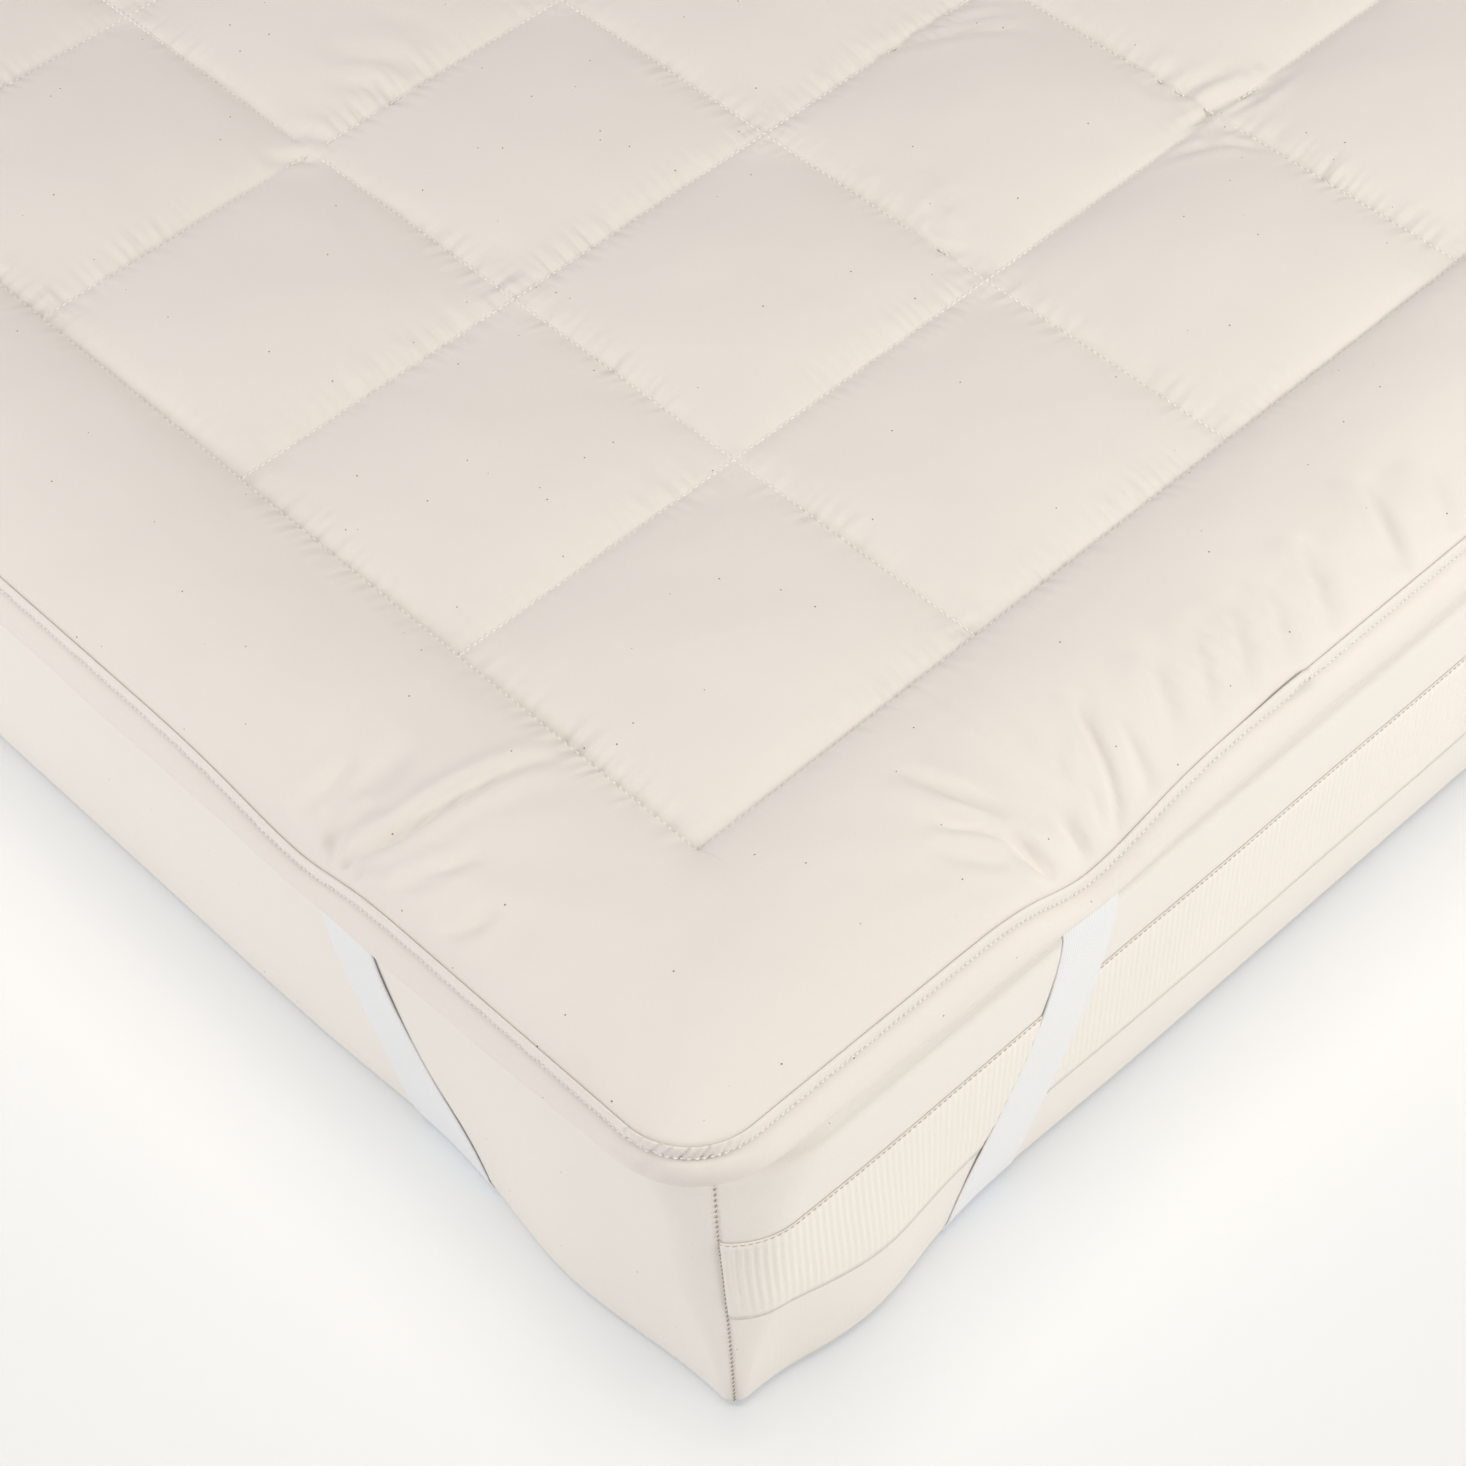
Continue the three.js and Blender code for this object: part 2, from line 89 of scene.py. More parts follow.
# The lip's section below the tape: how far out and how far down, as shares
LIP_SECTION = (
    (0.35, 0.03), (0.68, 0.15), (0.92, 0.33), (0.98, 0.52), (0.90, 0.72), (0.72, 0.87), (0.45, 0.96),
)
LIP_CENTRE = (2.0, 0.0)
LIP_HALF = (1009.0, 711.9)
LIP_RADIUS = 55.0

MATTRESS_CENTRE = (3.0, 8.0)
MATTRESS_HALF = (1000.0, 695.0)
MATTRESS_RADIUS = 75.0
MATTRESS_WAIST_RADIUS = 45.0
MATTRESS_TOP = 232.0
MATTRESS_FOOT_RADIUS = 10.0
# Its corners widen from foot to waist, and again from the second height over a further stretch
WAIST_Z = 119
WIDEN_Z, WIDEN_STRETCH = 130, 60
MATTRESS_SPACING = (9.0, 1.3)
COVER_UNEVEN = 1.2
# The corner seam leans, and lies in a groove
SEAM_LEAN, SEAM_LEAN_TOP = 6.0, 190
GROOVE, GROOVE_WIDTH = 0.75, 2.4
# How far the underside gives way over a strap, half the width that does, and its soft edge
FOOT_LIFT, LIFT_HALF, LIFT_EDGE = 2.4, 20, 14
TOP_EDGE = 52.0
FOOT_EDGE = 9.0
FOOT_INSETS = (32, 50, 70, 95, 120, 150)
PLAIN_LEVELS = (26, 36, 48, 60, 72, 84, 96, 108, 120, 132, 144, 156, 168, 180)
DRAPE_GAP = 2.2
PAD_UNDER_INSET = 11

STRAP_WIDTH = 40.0
STRAP_THICK = 1.0
STRAP_TOP_Z = 200.0
STRAP_BEND_Z = 180.0
STRAP_COLUMNS = 7
STRAP_LEVELS = 30
STRAP_TURNS = 6
STRAP_OFF_COVER = 0.3
STRAP_LOOSE = 0.12
STRAP_SUNK = 0.35
# Each strap's distance from the corner at its top, how far it comes nearer and how bent it is,
# how it pulls the pad down and pinches the foot, and the foot's swell beside it: its height,
# distance from the corner and half width
END_STRAP = {
    "from_corner": 248.0, "sweep": 77.0, "bend": 1.65, "pull": 19.0, "pinch": 2.0, "swell": (10, 90, 50),
}
SIDE_STRAP = {
    "from_corner": 281.0, "sweep": 73.0, "bend": 2.0, "pull": 12.0, "pinch": 4.0, "swell": (8, 115, 60),
}
PULL_HALF_WIDTH = 52.0
PULL_TO_CORNER, PULL_FROM_CORNER = 0.75, 1.1
PINCH_FOOT_Z, PINCH_FADE = 20, 130
PINCH_HALF_WIDTH = 70
PINCH_FROM_CORNER = 60
CROSSING_SHARE = 0.75

BAND_TOP_Z = 127.0
BAND_TOP_RISE = 6.0
BAND_BOTTOM_Z = 45.0
BAND_BOTTOM_RISE = 27.0
BAND_CORNER_REACH = (160, 95)
BAND_ROWS = 14
BAND_CLOTH = 0.25
RIB_PITCH = 4.3

# Stitches: pitch, and length and thickness of the thread that shows
STITCH_PITCH = 4.4
STITCH = (3.3, 1.45)
STITCH_TURN = 0.05
STITCH_UP = 0.1
TAPE_STITCH_PITCH = 3.2
TAPE_STITCH = (2.5, 1.1)
TAPE_STITCH_DOWN = 6.2
TAPE_STITCH_OUT = 1.9
BAND_STITCH_PITCH = 3.6
BAND_STITCH = (2.3, 0.55)
BAND_STITCH_DOWN, BAND_STITCH_OUT = 1.1, 1.05
CORNER_STITCH_PITCH = 3.2
CORNER_STITCH = (2.9, 0.75)
CORNER_STITCH_OUT, CORNER_STITCH_LEAN = 0.35, 0.35
CORNER_SEAM_Z = (6.0, 196)

# Unevenness over the plan: its height or share, its length, and its layer in the noise
LIP_WAVE = (1.6, 45, 5.0)
LIP_SWELL = (0.10, 60, 1.0)
CELL_WAVE = (0.10, 70, 4.0)
BORDER_WAVE = (0.09, 110, 9.0)
RIPPLES = ((1.1, 52, 21.0), (0.4, 21, 33.0))
RIPPLE_EASE = 12

# Colours, linear
COTTON = (0.83, 0.765, 0.702)
COTTON_SHADE = (0.815, 0.745, 0.682)
FLECK = (0.30, 0.19, 0.10)
THREAD = (0.93, 0.89, 0.82)
TAPE_THREAD = (0.95, 0.92, 0.86)
TAPE_CREAM = (0.84, 0.778, 0.715)
ELASTIC_WHITE = (0.90, 0.90, 0.905)
COVER_CREAM = (0.865, 0.816, 0.757)
COVER_SHADE = (0.848, 0.796, 0.735)
BAND_CREAM = (0.915, 0.858, 0.78)
SEAM_BROWN = (0.38, 0.30, 0.235)
BAND_BROWN = (0.60, 0.52, 0.44)
FLOOR_WHITE = (0.955, 0.955, 0.94)
THREAD_SHADE = 0.86

# Weave and gathers in the materials
COTTON_THREADS = 1400.0
CLOTH_BUMP = 0.35
FLECK_CHANCE = 0.4
GATHERS_BUMP = 3.2
GATHERS_REACH = 0.024

# The photograph's view
CAMERA_PLACE = (1630.7, -1238.6, 1542.9)
CAMERA_AIM = (829.4, -514.2, 240.3)
CAMERA_ROLL = -2.348
CAMERA_LENS = 84.63

# Light: a pale room, a soft top light and two softboxes for the bed, and two lamps behind it
# that give the floor its shadow.
Sun = namedtuple("Sun", "name strength size turn height colour")
Softbox = namedtuple("Softbox", "name place size power colour")
# Suns: size, turn and height in degrees. Softboxes: size in metres.
ROOM_LIGHT = (0.985, 0.99, 1.0)
ROOM_STRENGTH = 0.40
SUNS = (
    Sun("bed_top_light", 0.65, 60, 0, 90, (1.0, 0.99, 0.97)),
    Sun("floor_far_side", 0.49, 21, 60, 80, (1.0, 0.93, 0.82)),
    Sun("floor_far_end", 0.68, 23, 206, 79, (1.0, 0.93, 0.82)),
)
SOFTBOXES = (
    Softbox("bed_softbox_right", (2450, 250, 1370), 1.3, 23.8, (1.0, 0.99, 0.945)),
    Softbox("bed_softbox_left", (-500, -2900, 1350), 1.3, 33.0, (0.985, 0.985, 1.0)),
)
SOFTBOX_AIM = (600, -400, 200)
FLOOR_GLOW = 0.182
FLOOR_GLOW_COLOUR = (0.77, 0.86, 1.0)

SEED = 7
rng = random.Random(SEED)
BED = bpy.data.collections.new("bed")
GROUND = bpy.data.collections.new("ground")

tape_low, tape_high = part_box("binding_tape")
ORIGIN = Vector(((tape_low[0] + tape_high[0]) / 2, (tape_low[1] + tape_high[1]) / 2, 0))


def place(x, y, z):
    return Vector((x * MM, y * MM, z * MM)) + ORIGIN


# Outlines in plan. A station is a place on the edge: a side, a distance along it, a share of
# the stretch between quilting and arc, and a turn on the arc. It can be found on any outline.

SIDES = (
    ((1, 0), (0, -1)),
    ((0, 1), (1, 0)),
    ((-1, 0), (0, 1)),
    ((0, -1), (-1, 0)),
)
CORNERS = ((1, -1), (1, 1), (-1, 1), (-1, -1))


def dot(a, b):
    return a[0] * b[0] + a[1] * b[1]


def extent(half, way):
    return abs(half[0] * way[0]) + abs(half[1] * way[1])


def outline_point(outline, station):
    centre, half, radius = outline
    side, along, stretch, turn = station
    way, out = SIDES[side]
    middle, off = dot(centre, way), dot(centre, out)
    reach, depth = extent(half, way), extent(half, out)
    start = reach - radius
    sign = 1 if along >= 0 else -1
    if turn is not None:
        a = middle + sign * (start + radius * math.sin(turn))
        b = off + depth - radius + radius * math.cos(turn)
        lean = sign * math.sin(turn), math.cos(turn)
    else:
        a = along + (middle + sign * start - along) * stretch
        b = off + depth
        lean = 0.0, 1.0
    x = way[0] * a + out[0] * b
    y = way[1] * a + out[1] * b
    normal = (way[0] * lean[0] + out[0] * lean[1], way[1] * lean[0] + out[1] * lean[1])
    return x, y, normal


def grown(outline, offset):
    centre, half, radius = outline
    return centre, (half[0] + offset, half[1] + offset), max(radius + offset, 4.0)


SEAM = ((0.0, 0.0), SEAM_HALF, SEAM_RADIUS)
LIP = (LIP_CENTRE, LIP_HALF, LIP_RADIUS)
STRAIGHT = BORDER - SEAM_RADIUS
ARC_HALF = SEAM_RADIUS * math.pi / 4
STRAIGHT_SHARE = STRAIGHT / (STRAIGHT + ARC_HALF)


def station_at(x, y):
    """The station where a point on the flat pad's square-cornered edge is sewn."""
    if abs(y) - QUILT[1] >= abs(x) - QUILT[0]:
        side = 0 if y < 0 else 2
    else:
        side = 1 if x > 0 else 3
    return side_station(side, dot((x, y), SIDES[side][0]))


def pad_plan(x, y):
    """Where a point of the flat pad lies in plan."""
    over = max(abs(x) - QUILT[0], 0.0), max(abs(y) - QUILT[1], 0.0)
    share = max(over) / BORDER
    if share <= 0:
        return x, y
    foot = (
        math.copysign(min(abs(x), QUILT[0]), x),
        math.copysign(min(abs(y), QUILT[1]), y),
    )
    edge = foot[0] + (x - foot[0]) / share, foot[1] + (y - foot[1]) / share
    seam_x, seam_y, _ = outline_point(SEAM, station_at(*edge))
    return foot[0] + (seam_x - foot[0]) * share, foot[1] + (seam_y - foot[1]) * share


def outline_depth(outline, x, y):
    """How far inside a rounded outline a point lies."""
    centre, half, radius = outline
    a = abs(x - centre[0]) - half[0] + radius
    b = abs(y - centre[1]) - half[1] + radius
    outside = math.hypot(max(a, 0), max(b, 0))
    return radius - outside - min(max(a, b), 0)


def smooth(t):
    t = min(max(t, 0.0), 1.0)
    return t * t * (3 - 2 * t)


def bump(distance, half_width):
    return math.exp(-((distance / half_width) ** 2))


def uneven(x, y, z):
    return noise.noise(Vector((x, y, z)))


def waver(wave, x, y):
    height, length, layer = wave
    return height * uneven(x / length, y / length, layer)


# Straps pull the edge down and draw the foot of the mattress in.

def from_corner(side, x, y):
    way = SIDES[side][0]
    return extent(MATTRESS_HALF, way) - abs(dot((x, y), way) - dot(MATTRESS_CENTRE, way))


def strap_on(side):
    return SIDE_STRAP if side % 2 == 0 else END_STRAP


def pull_down(side, x, y):
    strap = strap_on(side)
    away = from_corner(side, x, y) - strap["from_corner"]
    return strap["pull"] * bump(away, PULL_HALF_WIDTH * (PULL_TO_CORNER if away < 0 else PULL_FROM_CORNER))


def seam_height(side, x, y):
    a, b = SEAM_HALF[0] - abs(x), SEAM_HALF[1] - abs(y)
    return SEAM_Z + SEAM_CORNER_RISE * bump(math.hypot(a, b), SEAM_CORNER_REACH) - pull_down(side, x, y)


def lip_bottom(x, y):
    """The lip's lower edge, which rides up at the corners."""
    a = LIP_HALF[0] - abs(x - LIP_CENTRE[0])
    b = LIP_HALF[1] - abs(y - LIP_CENTRE[1])
    return LIP_BOTTOM_Z + LIP_CORNER_RISE * bump(math.hypot(a, b), LIP_CORNER_REACH) + waver(LIP_WAVE, x, y)


def mattress_pinch(side, distance, z):
    """How far the foot of the mattress swells and is drawn in, near a strap."""
    low = 1 - smooth((z - PINCH_FOOT_Z) / PINCH_FADE)
    strap = strap_on(side)
    crossing = strap["from_corner"] - strap["sweep"] * CROSSING_SHARE
    drawn = strap["pinch"] * bump(distance - crossing, PINCH_HALF_WIDTH)
    height, middle, half_width = strap["swell"]
    swell = height * bump(distance - middle, half_width)
    return low * smooth(distance / PINCH_FROM_CORNER) * (swell - drawn)


# The pad's folds, placed near one corner. Each is a trough: its depth, its width and its line, from that
# corner of the quilting, x out over the end border and y along it.
Fold = namedtuple("Fold", "depth width line")
FOLDS = (
    Fold(2.9, 5.0, ((126, 161), (116, 168), (98, 178), (80, 185), (67, 193))),
    Fold(1.7, 5.5, ((121, 189), (113, 190), (100, 195), (86, 202))),
    Fold(2.0, 8.0, ((120, 224), (105, 228), (89, 236), (79, 243))),
    Fold(1.7, 5.5, ((109, 155), (90, 158), (74, 168))),
    Fold(3.6, 4.5, ((129, 117), (114, 113), (100, 108), (89, 101), (79, 91), (70, 86))),
    Fold(3.0, 5.0, ((118, 114), (99, 114), (85, 112), (72, 107), (52, 100), (39, 98))),
    Fold(1.9, 5.5, ((111, 109), (105, 96), (94, 83), (81, 74))),
    Fold(1.5, 6.5, ((122, 100), (116, 84), (107, 66))),
    Fold(1.9, 4.5, ((125, 137), (114, 140), (104, 145), (92, 146))),
    Fold(1.6, 4.0, ((120, 156), (108, 162), (94, 166))),
    Fold(4.8, 4.6, (
        (-116, -120), (-111, -109), (-105, -98), (-102, -86), (-99, -70), (-95, -48), (-92, -30), (-86, -12),
    )),
    Fold(2.8, 4.5, ((-83, -112), (-76, -103), (-70, -95), (-65, -79))),
    Fold(1.5, 3.0, ((-108, -124), (-104, -114))),
    Fold(1.8, 5.0, ((-47, -117), (-40, -108), (-38, -93))),
    Fold(1.8, 9.0, ((-139, -71), (-137, -83), (-135, -94))),
    Fold(1.4, 3.0, ((-106, -127), (-105, -119), (-104, -112))),
    Fold(1.8, 4.5, ((-134, -116), (-131, -104), (-126, -90))),
    Fold(1.8, 4.0, ((-85, -118), (-74, -110), (-63, -100))),
    Fold(1.5, 5.0, ((-159, -115), (-155, -97), (-156, -82))),
    Fold(2.2, 7.0, ((114, 215), (95, 226), (70, 241))),
    Fold(3.4, 7.5, ((114, 242), (96, 255), (72, 272))),
    Fold(3.2, 7.5, ((116, 266), (100, 279), (76, 296))),
    Fold(2.8, 7.5, ((118, 294), (102, 306), (83, 318))),
    Fold(3.4, 8.0, ((118, 326), (98, 338), (77, 349))),
    Fold(3.4, 8.0, ((117, 382), (98, 391), (73, 404))),
    Fold(2.6, 8.0, ((118, 423), (104, 430), (88, 439))),
)
CELL_FOLDS = (
    Fold(3.0, 5.0, ((-181, 566), (-180, 583), (-177, 595), (-170, 614), (-164, 632))),
    Fold(2.0, 4.0, ((-170, 582), (-166, 599), (-163, 615))),
    Fold(2.2, 5.0, ((-218, 563), (-218, 579), (-213, 591))),
    Fold(1.8, 4.0, ((-168, 530), (-158, 547), (-147, 559))),
    Fold(1.6, 3.5, ((-162, 556), (-148, 561), (-135, 568))),
    Fold(1.6, 3.5, ((-179, 554), (-179, 566), (-176, 573))),
    Fold(2.4, 5.5, ((-347, 490), (-333, 508), (-321, 528), (-310, 540), (-297, 551))),
    Fold(1.8, 5.0, ((-345, 514), (-333, 529), (-323, 547), (-312, 556))),
    Fold(1.6, 5.0, ((-209, 561), (-204, 577), (-196, 592), (-191, 609))),
    Fold(1.4, 4.0, ((-212, 382), (-201, 390), (-196, 394))),
    Fold(1.3, 4.0, ((-228, 399), (-228, 410), (-224, 417))),
    Fold(2.2, 6.0, ((-567, 249), (-551, 268), (-524, 279))),
    Fold(2.0, 5.5, ((-554, 234), (-538, 250), (-518, 257))),
    Fold(1.6, 5.0, ((-539, 197), (-523, 208))),
    Fold(1.6, 5.0, ((-581, 287), (-555, 305))),
    Fold(1.6, 5.0, ((-532, 170), (-523, 184), (-512, 189))),
    Fold(1.4, 4.0, ((-262, 421), (-249, 421), (-234, 414))),
    Fold(1.6, 4.0, ((-233, 397), (-221, 394), (-209, 390))),
    Fold(1.3, 4.0, ((-208, 399), (-197, 393))),
)
# Squares of the plan that list the folds near them, and how far a fold reaches, in its widths
FOLD_CELL = 60.0
FOLD_REACH = 4
# A fold's section, in its widths, and how it dies away at its ends
FOLD_START = 0.12
FOLD_TAPER = 0.6
TROUGH_WIDTH = 0.8
RIDGE_AWAY, RIDGE_WIDTH = 1.7, 1.2
RIDGES = (0.6, 0.45)
# The first corner has the folds as listed, a little deeper. The others have them weaker,
# wider and moved.
FIRST_DEEPER = 1.25
OTHERS_DEPTH = (0.5, 0.9)
OTHERS_WIDER = 2.4
OTHERS_MOVED = (14, 10)


def fold_map():
    """The folds at all four corners, listed by the squares of the plan that they reach."""
    squares = {}
    for number, (sx, sy) in enumerate(CORNERS):
        for fold in FOLDS if number else FOLDS + CELL_FOLDS:
            width, share, moved = fold.width, FIRST_DEEPER, (0, 0)
            if number:
                share = rng.uniform(*OTHERS_DEPTH)
                width *= OTHERS_WIDER
                moved = [rng.uniform(-most, most) for most in OTHERS_MOVED]
            points = []
            for x, y in fold.line:
                points.append((sx * (QUILT[0] + x) + moved[0], sy * (QUILT[1] - y) + moved[1]))
            stroke = (points, fold.depth * share, width)
            reach = FOLD_REACH * width
            spans = []
            for values in zip(*points):
                low, high = min(values) - reach, max(values) + reach
                spans.append(range(math.floor(low / FOLD_CELL), math.floor(high / FOLD_CELL) + 1))
            for i in spans[0]:
                for j in spans[1]:
                    squares.setdefault((i, j), []).append(stroke)
    return squares


def stroke_distance(points, x, y):
    """Signed distance from a stroke, and how far along it the nearest place is, 0 to 1."""
    best = (1e9, 0.0)
    total = len(points) - 1
    for i in range(total):
        (ax, ay), (bx, by) = points[i], points[i + 1]
        dx, dy = bx - ax, by - ay
        length = dx * dx + dy * dy
        t = ((x - ax) * dx + (y - ay) * dy) / length
        t = min(max(t, 0.0), 1.0)
        away = math.hypot(x - ax - dx * t, y - ay - dy * t)
        if away < abs(best[0]):
            turn = dx * (y - ay) - dy * (x - ax)
            best = (math.copysign(away, turn), (i + t) / total)
    return best


FOLD_SQUARES = fold_map()


def folds_at(x, y):
    """The listed troughs, each with a soft ridge beside it."""
    height = 0.0
    square = (math.floor(x / FOLD_CELL), math.floor(y / FOLD_CELL))
    for points, depth, width in FOLD_SQUARES.get(square, ()):
        away, along = stroke_distance(points, x, y)
        if abs(away) < FOLD_REACH * width:
            run = FOLD_START + (1 - FOLD_START) * along
            fade = math.sin(math.pi * min(max(run, 0.0), 1.0)) ** FOLD_TAPER
            trough = -bump(away, TROUGH_WIDTH * width)
            ridge = RIDGES[0] * bump(away - RIDGE_AWAY * width, RIDGE_WIDTH * width)
            ridge += RIDGES[1] * bump(away + RIDGE_AWAY * width, RIDGE_WIDTH * width)
            height += depth * fade * (trough + ridge)
    return height


# Where each strap's pull gathers the border: the near corner's two, in plan from that corner
# of the quilting, and a share of them at the other corners.
FAN_PLACES = ((140, 142), (-112, -138))
FAN_REACH = 58.0
FAN_END = 3.4 * FAN_REACH
# Heights of their fine and coarse folds, how many there are to the turn, and how long they run
FAN_FINE, FINE_TURN, FINE_RUN = 4.4, 4.6, 120
FAN_COARSE, COARSE_TURN, COARSE_RUN = 3.0, 2.0, 160
FAN_START = 14
FAN_FALL = 1.6
OTHER_FANS = (0.7, 1.1)


def fan_centres():
    centres = []
    for number, (sx, sy) in enumerate(CORNERS):
        for x, y in FAN_PLACES:
            strength = rng.uniform(*OTHER_FANS) if number else 1.0
            centres.append((sx * (QUILT[0] + x), sy * (QUILT[1] - y), strength, rng.uniform(0, 50)))
    return centres


FANS = fan_centres()


def fans_at(x, y):
    """Fine folds that run out from the top of each strap."""
    height = 0.0
    for cx, cy, strength, seed in FANS:
        dx, dy = x - cx, y - cy
        reach = math.hypot(dx, dy)
        if reach > FAN_END:
            continue
        angle = math.atan2(dy, dx)
        folds = FAN_FINE * uneven(angle * FINE_TURN, seed, reach / FINE_RUN)
        folds += FAN_COARSE * uneven(angle * COARSE_TURN, seed + 9, reach / COARSE_RUN)
        share = reach / FAN_REACH
        rise = min(1.0, reach / FAN_START) * math.exp(-(share**FAN_FALL) / FAN_FALL)
        height += strength * rise * folds * (0.35 + min(share, 1.4))
    return height


def ripples(x, y):
    """The filling's slow unevenness under the cotton."""
    return sum(waver(wave, x, y) for wave in RIPPLES)


# Gathers beside a row of stitches: their height and reach, how soon they rise and fall, the
# lengths over which they and their patches change, and how strong the weakest patch is
PUCKER_HEIGHT, PUCKER_REACH = 1.7, 45
PUCKER_RISE, PUCKER_FALL = 2.5, 15
PUCKER_LENGTH, PATCH_LENGTH = 8.5, 95
WEAK_PATCH = 0.35


def puckers(distance, along, line):
    """Small gathers that run out from a row of stitches and die away."""
    if distance > PUCKER_REACH:
        return 0.0
    swing = uneven(along / PUCKER_LENGTH, line * 3.7, distance / 60)
    patch = WEAK_PATCH + 0.9 * max(0.0, uneven(along / PATCH_LENGTH, line * 5.1, 2.0) + 0.15)
    rise = math.exp(-distance / PUCKER_FALL) * (1 - math.exp(-distance / PUCKER_RISE))
    return PUCKER_HEIGHT * patch * swing * rise


CELL_HEIGHTS = {}
for column in range(QUILT_CELLS[0]):
    for row in range(QUILT_CELLS[1]):
        CELL_HEIGHTS[column, row] = CELL_CROWN * rng.uniform(0.88, 1.1)


def arch(t, power):
    return max(0.0, 4 * t * (1 - t)) ** power


def eased(t, size):
    """A share of a cell, rounded off at its two rows of stitches."""
    edge = min(t, 1 - t) * size
    edge = math.hypot(edge, CREASE) - CREASE
    return edge / size


def quilted_height(x, y):
    u = (x + QUILT[0]) / CELL[0]
    v = (y + QUILT[1]) / CELL[1]
    i = min(max(math.floor(u), 0), QUILT_CELLS[0] - 1)
    j = min(max(math.floor(v), 0), QUILT_CELLS[1] - 1)
    u, v = u - i, v - j
    dome = arch(eased(u, CELL[0]), CELL_POWER) * arch(eased(v, CELL[1]), CELL_POWER)
    height = CELL_HEIGHTS[i, j] * dome * (1 + waver(CELL_WAVE, x, y))
    to_x = min(u, 1 - u) * CELL[0]
    to_y = min(v, 1 - v) * CELL[1]
    height += puckers(to_x, y, i + (u > 0.5)) + puckers(to_y, x, 40 + j + (v > 0.5))
    height += ripples(x, y) * min(1.0, min(to_x, to_y) / RIPPLE_EASE)
    return STITCH_Z + height + folds_at(x, y)


def border_height(x, y, side):
    to_quilt = math.hypot(max(abs(x) - QUILT[0], 0), max(abs(y) - QUILT[1], 0))
    to_seam = max(outline_depth(SEAM, x, y), 0.0)
    share = to_quilt / max(to_quilt + to_seam, 1e-6)
    roll = (STITCH_Z - seam_height(side, x, y)) * share**4
    pull = pull_down(side, x, y)
    crown = BORDER_CROWN * arch(share, BORDER_POWER) * (1 - BORDER_LEAN * share)
    crown *= 1 + waver(BORDER_WAVE, x, y)
    along = x if side % 2 == 0 else y
    gathers = puckers(to_quilt, along, 80 + side) + 0.8 * puckers(to_seam, along, 90 + side)
    fade = min(1.0, to_seam / SEAM_EASE)
    wave = gathers + folds_at(x, y) + fans_at(x, y) + ripples(x, y) * min(1.0, to_quilt / RIPPLE_EASE)
    return STITCH_Z + crown - roll - pull * (share**3 - share**4) + wave * fade


def grid_lines(cells, pitch, steps, low_border, high_border):
    """Where the flat pad's grid lines run, close together beside each row of stitches."""
    lines = []

    def stretch(start, length, count, ease):
        for k in range(count):
            t = k / count
            lines.append(start + length * (t - ease * math.sin(2 * math.pi * t) / (2 * math.pi)))

    half = cells * pitch / 2
    stretch(-half - BORDER, BORDER, low_border, EVEN)
    for i, count in enumerate(steps):
        stretch(-half + i * pitch, pitch, count, EVEN if count == max(steps) else CROWDED)
    stretch(half, BORDER, high_border, EVEN)
    lines.append(half + BORDER)
    return lines


def new_object(name, bm, material, smooth_faces=True):
    mesh = bpy.data.meshes.new(name)
    bm.to_mesh(mesh)
    bm.free()
    piece = bpy.data.objects.new(name, mesh)
    bpy.context.scene.collection.objects.link(piece)
    (GROUND if name == "floor" else BED).objects.link(piece)
    mesh.materials.append(material)
    if smooth_faces:
        mesh.shade_smooth()
    return piece


def closed_object(name, bm, material):
    """An object with its faces turned outwards."""
    bmesh.ops.recalc_face_normals(bm, faces=bm.faces)
    return new_object(name, bm, material)


def face_along(bm, face, way):
    """Turns an open sheet over if the face given doesn't look the way given."""
    bmesh.ops.recalc_face_normals(bm, faces=bm.faces)
    face.normal_update()
    if dot(face.normal, way) < 0:
        bmesh.ops.reverse_faces(bm, faces=bm.faces)


def sheet_object(name, bm, material, thickness, offset, even=False, edge=0.0):
    """An open sheet given its thickness, and its edges rounded if asked."""
    piece = new_object(name, bm, material)
    wall = piece.modifiers.new("thickness", "SOLIDIFY")
    wall.thickness = thickness * MM
    wall.offset = offset
    wall.use_even_offset = even
    if edge:
        soft = piece.modifiers.new("edge", "BEVEL")
        soft.width = edge * MM
        soft.segments = 2
    depsgraph = bpy.context.evaluated_depsgraph_get()
    mesh = bpy.data.meshes.new_from_object(piece.evaluated_get(depsgraph))
    piece.modifiers.clear()
    old = piece.data
    piece.data = mesh
    bpy.data.meshes.remove(old)
    return piece


def next_ring(edges, bm, stations, position):
    """Extrudes a ring of edges and puts each new vertex where its station says."""
    old = {v for e in edges for v in e.verts}
    made = bmesh.ops.extrude_edge_only(bm, edges=edges)["geom"]
    verts = [g for g in made if isinstance(g, bmesh.types.BMVert)]
    fresh = set(verts)
    for v in verts:
        source = next(e.other_vert(v) for e in v.link_edges if e.other_vert(v) in old)
        stations[v] = stations[source]
        v.co = position(stations[v])
    return [e for v in verts for e in v.link_edges if e.other_vert(v) in fresh and e.verts[0] == v]


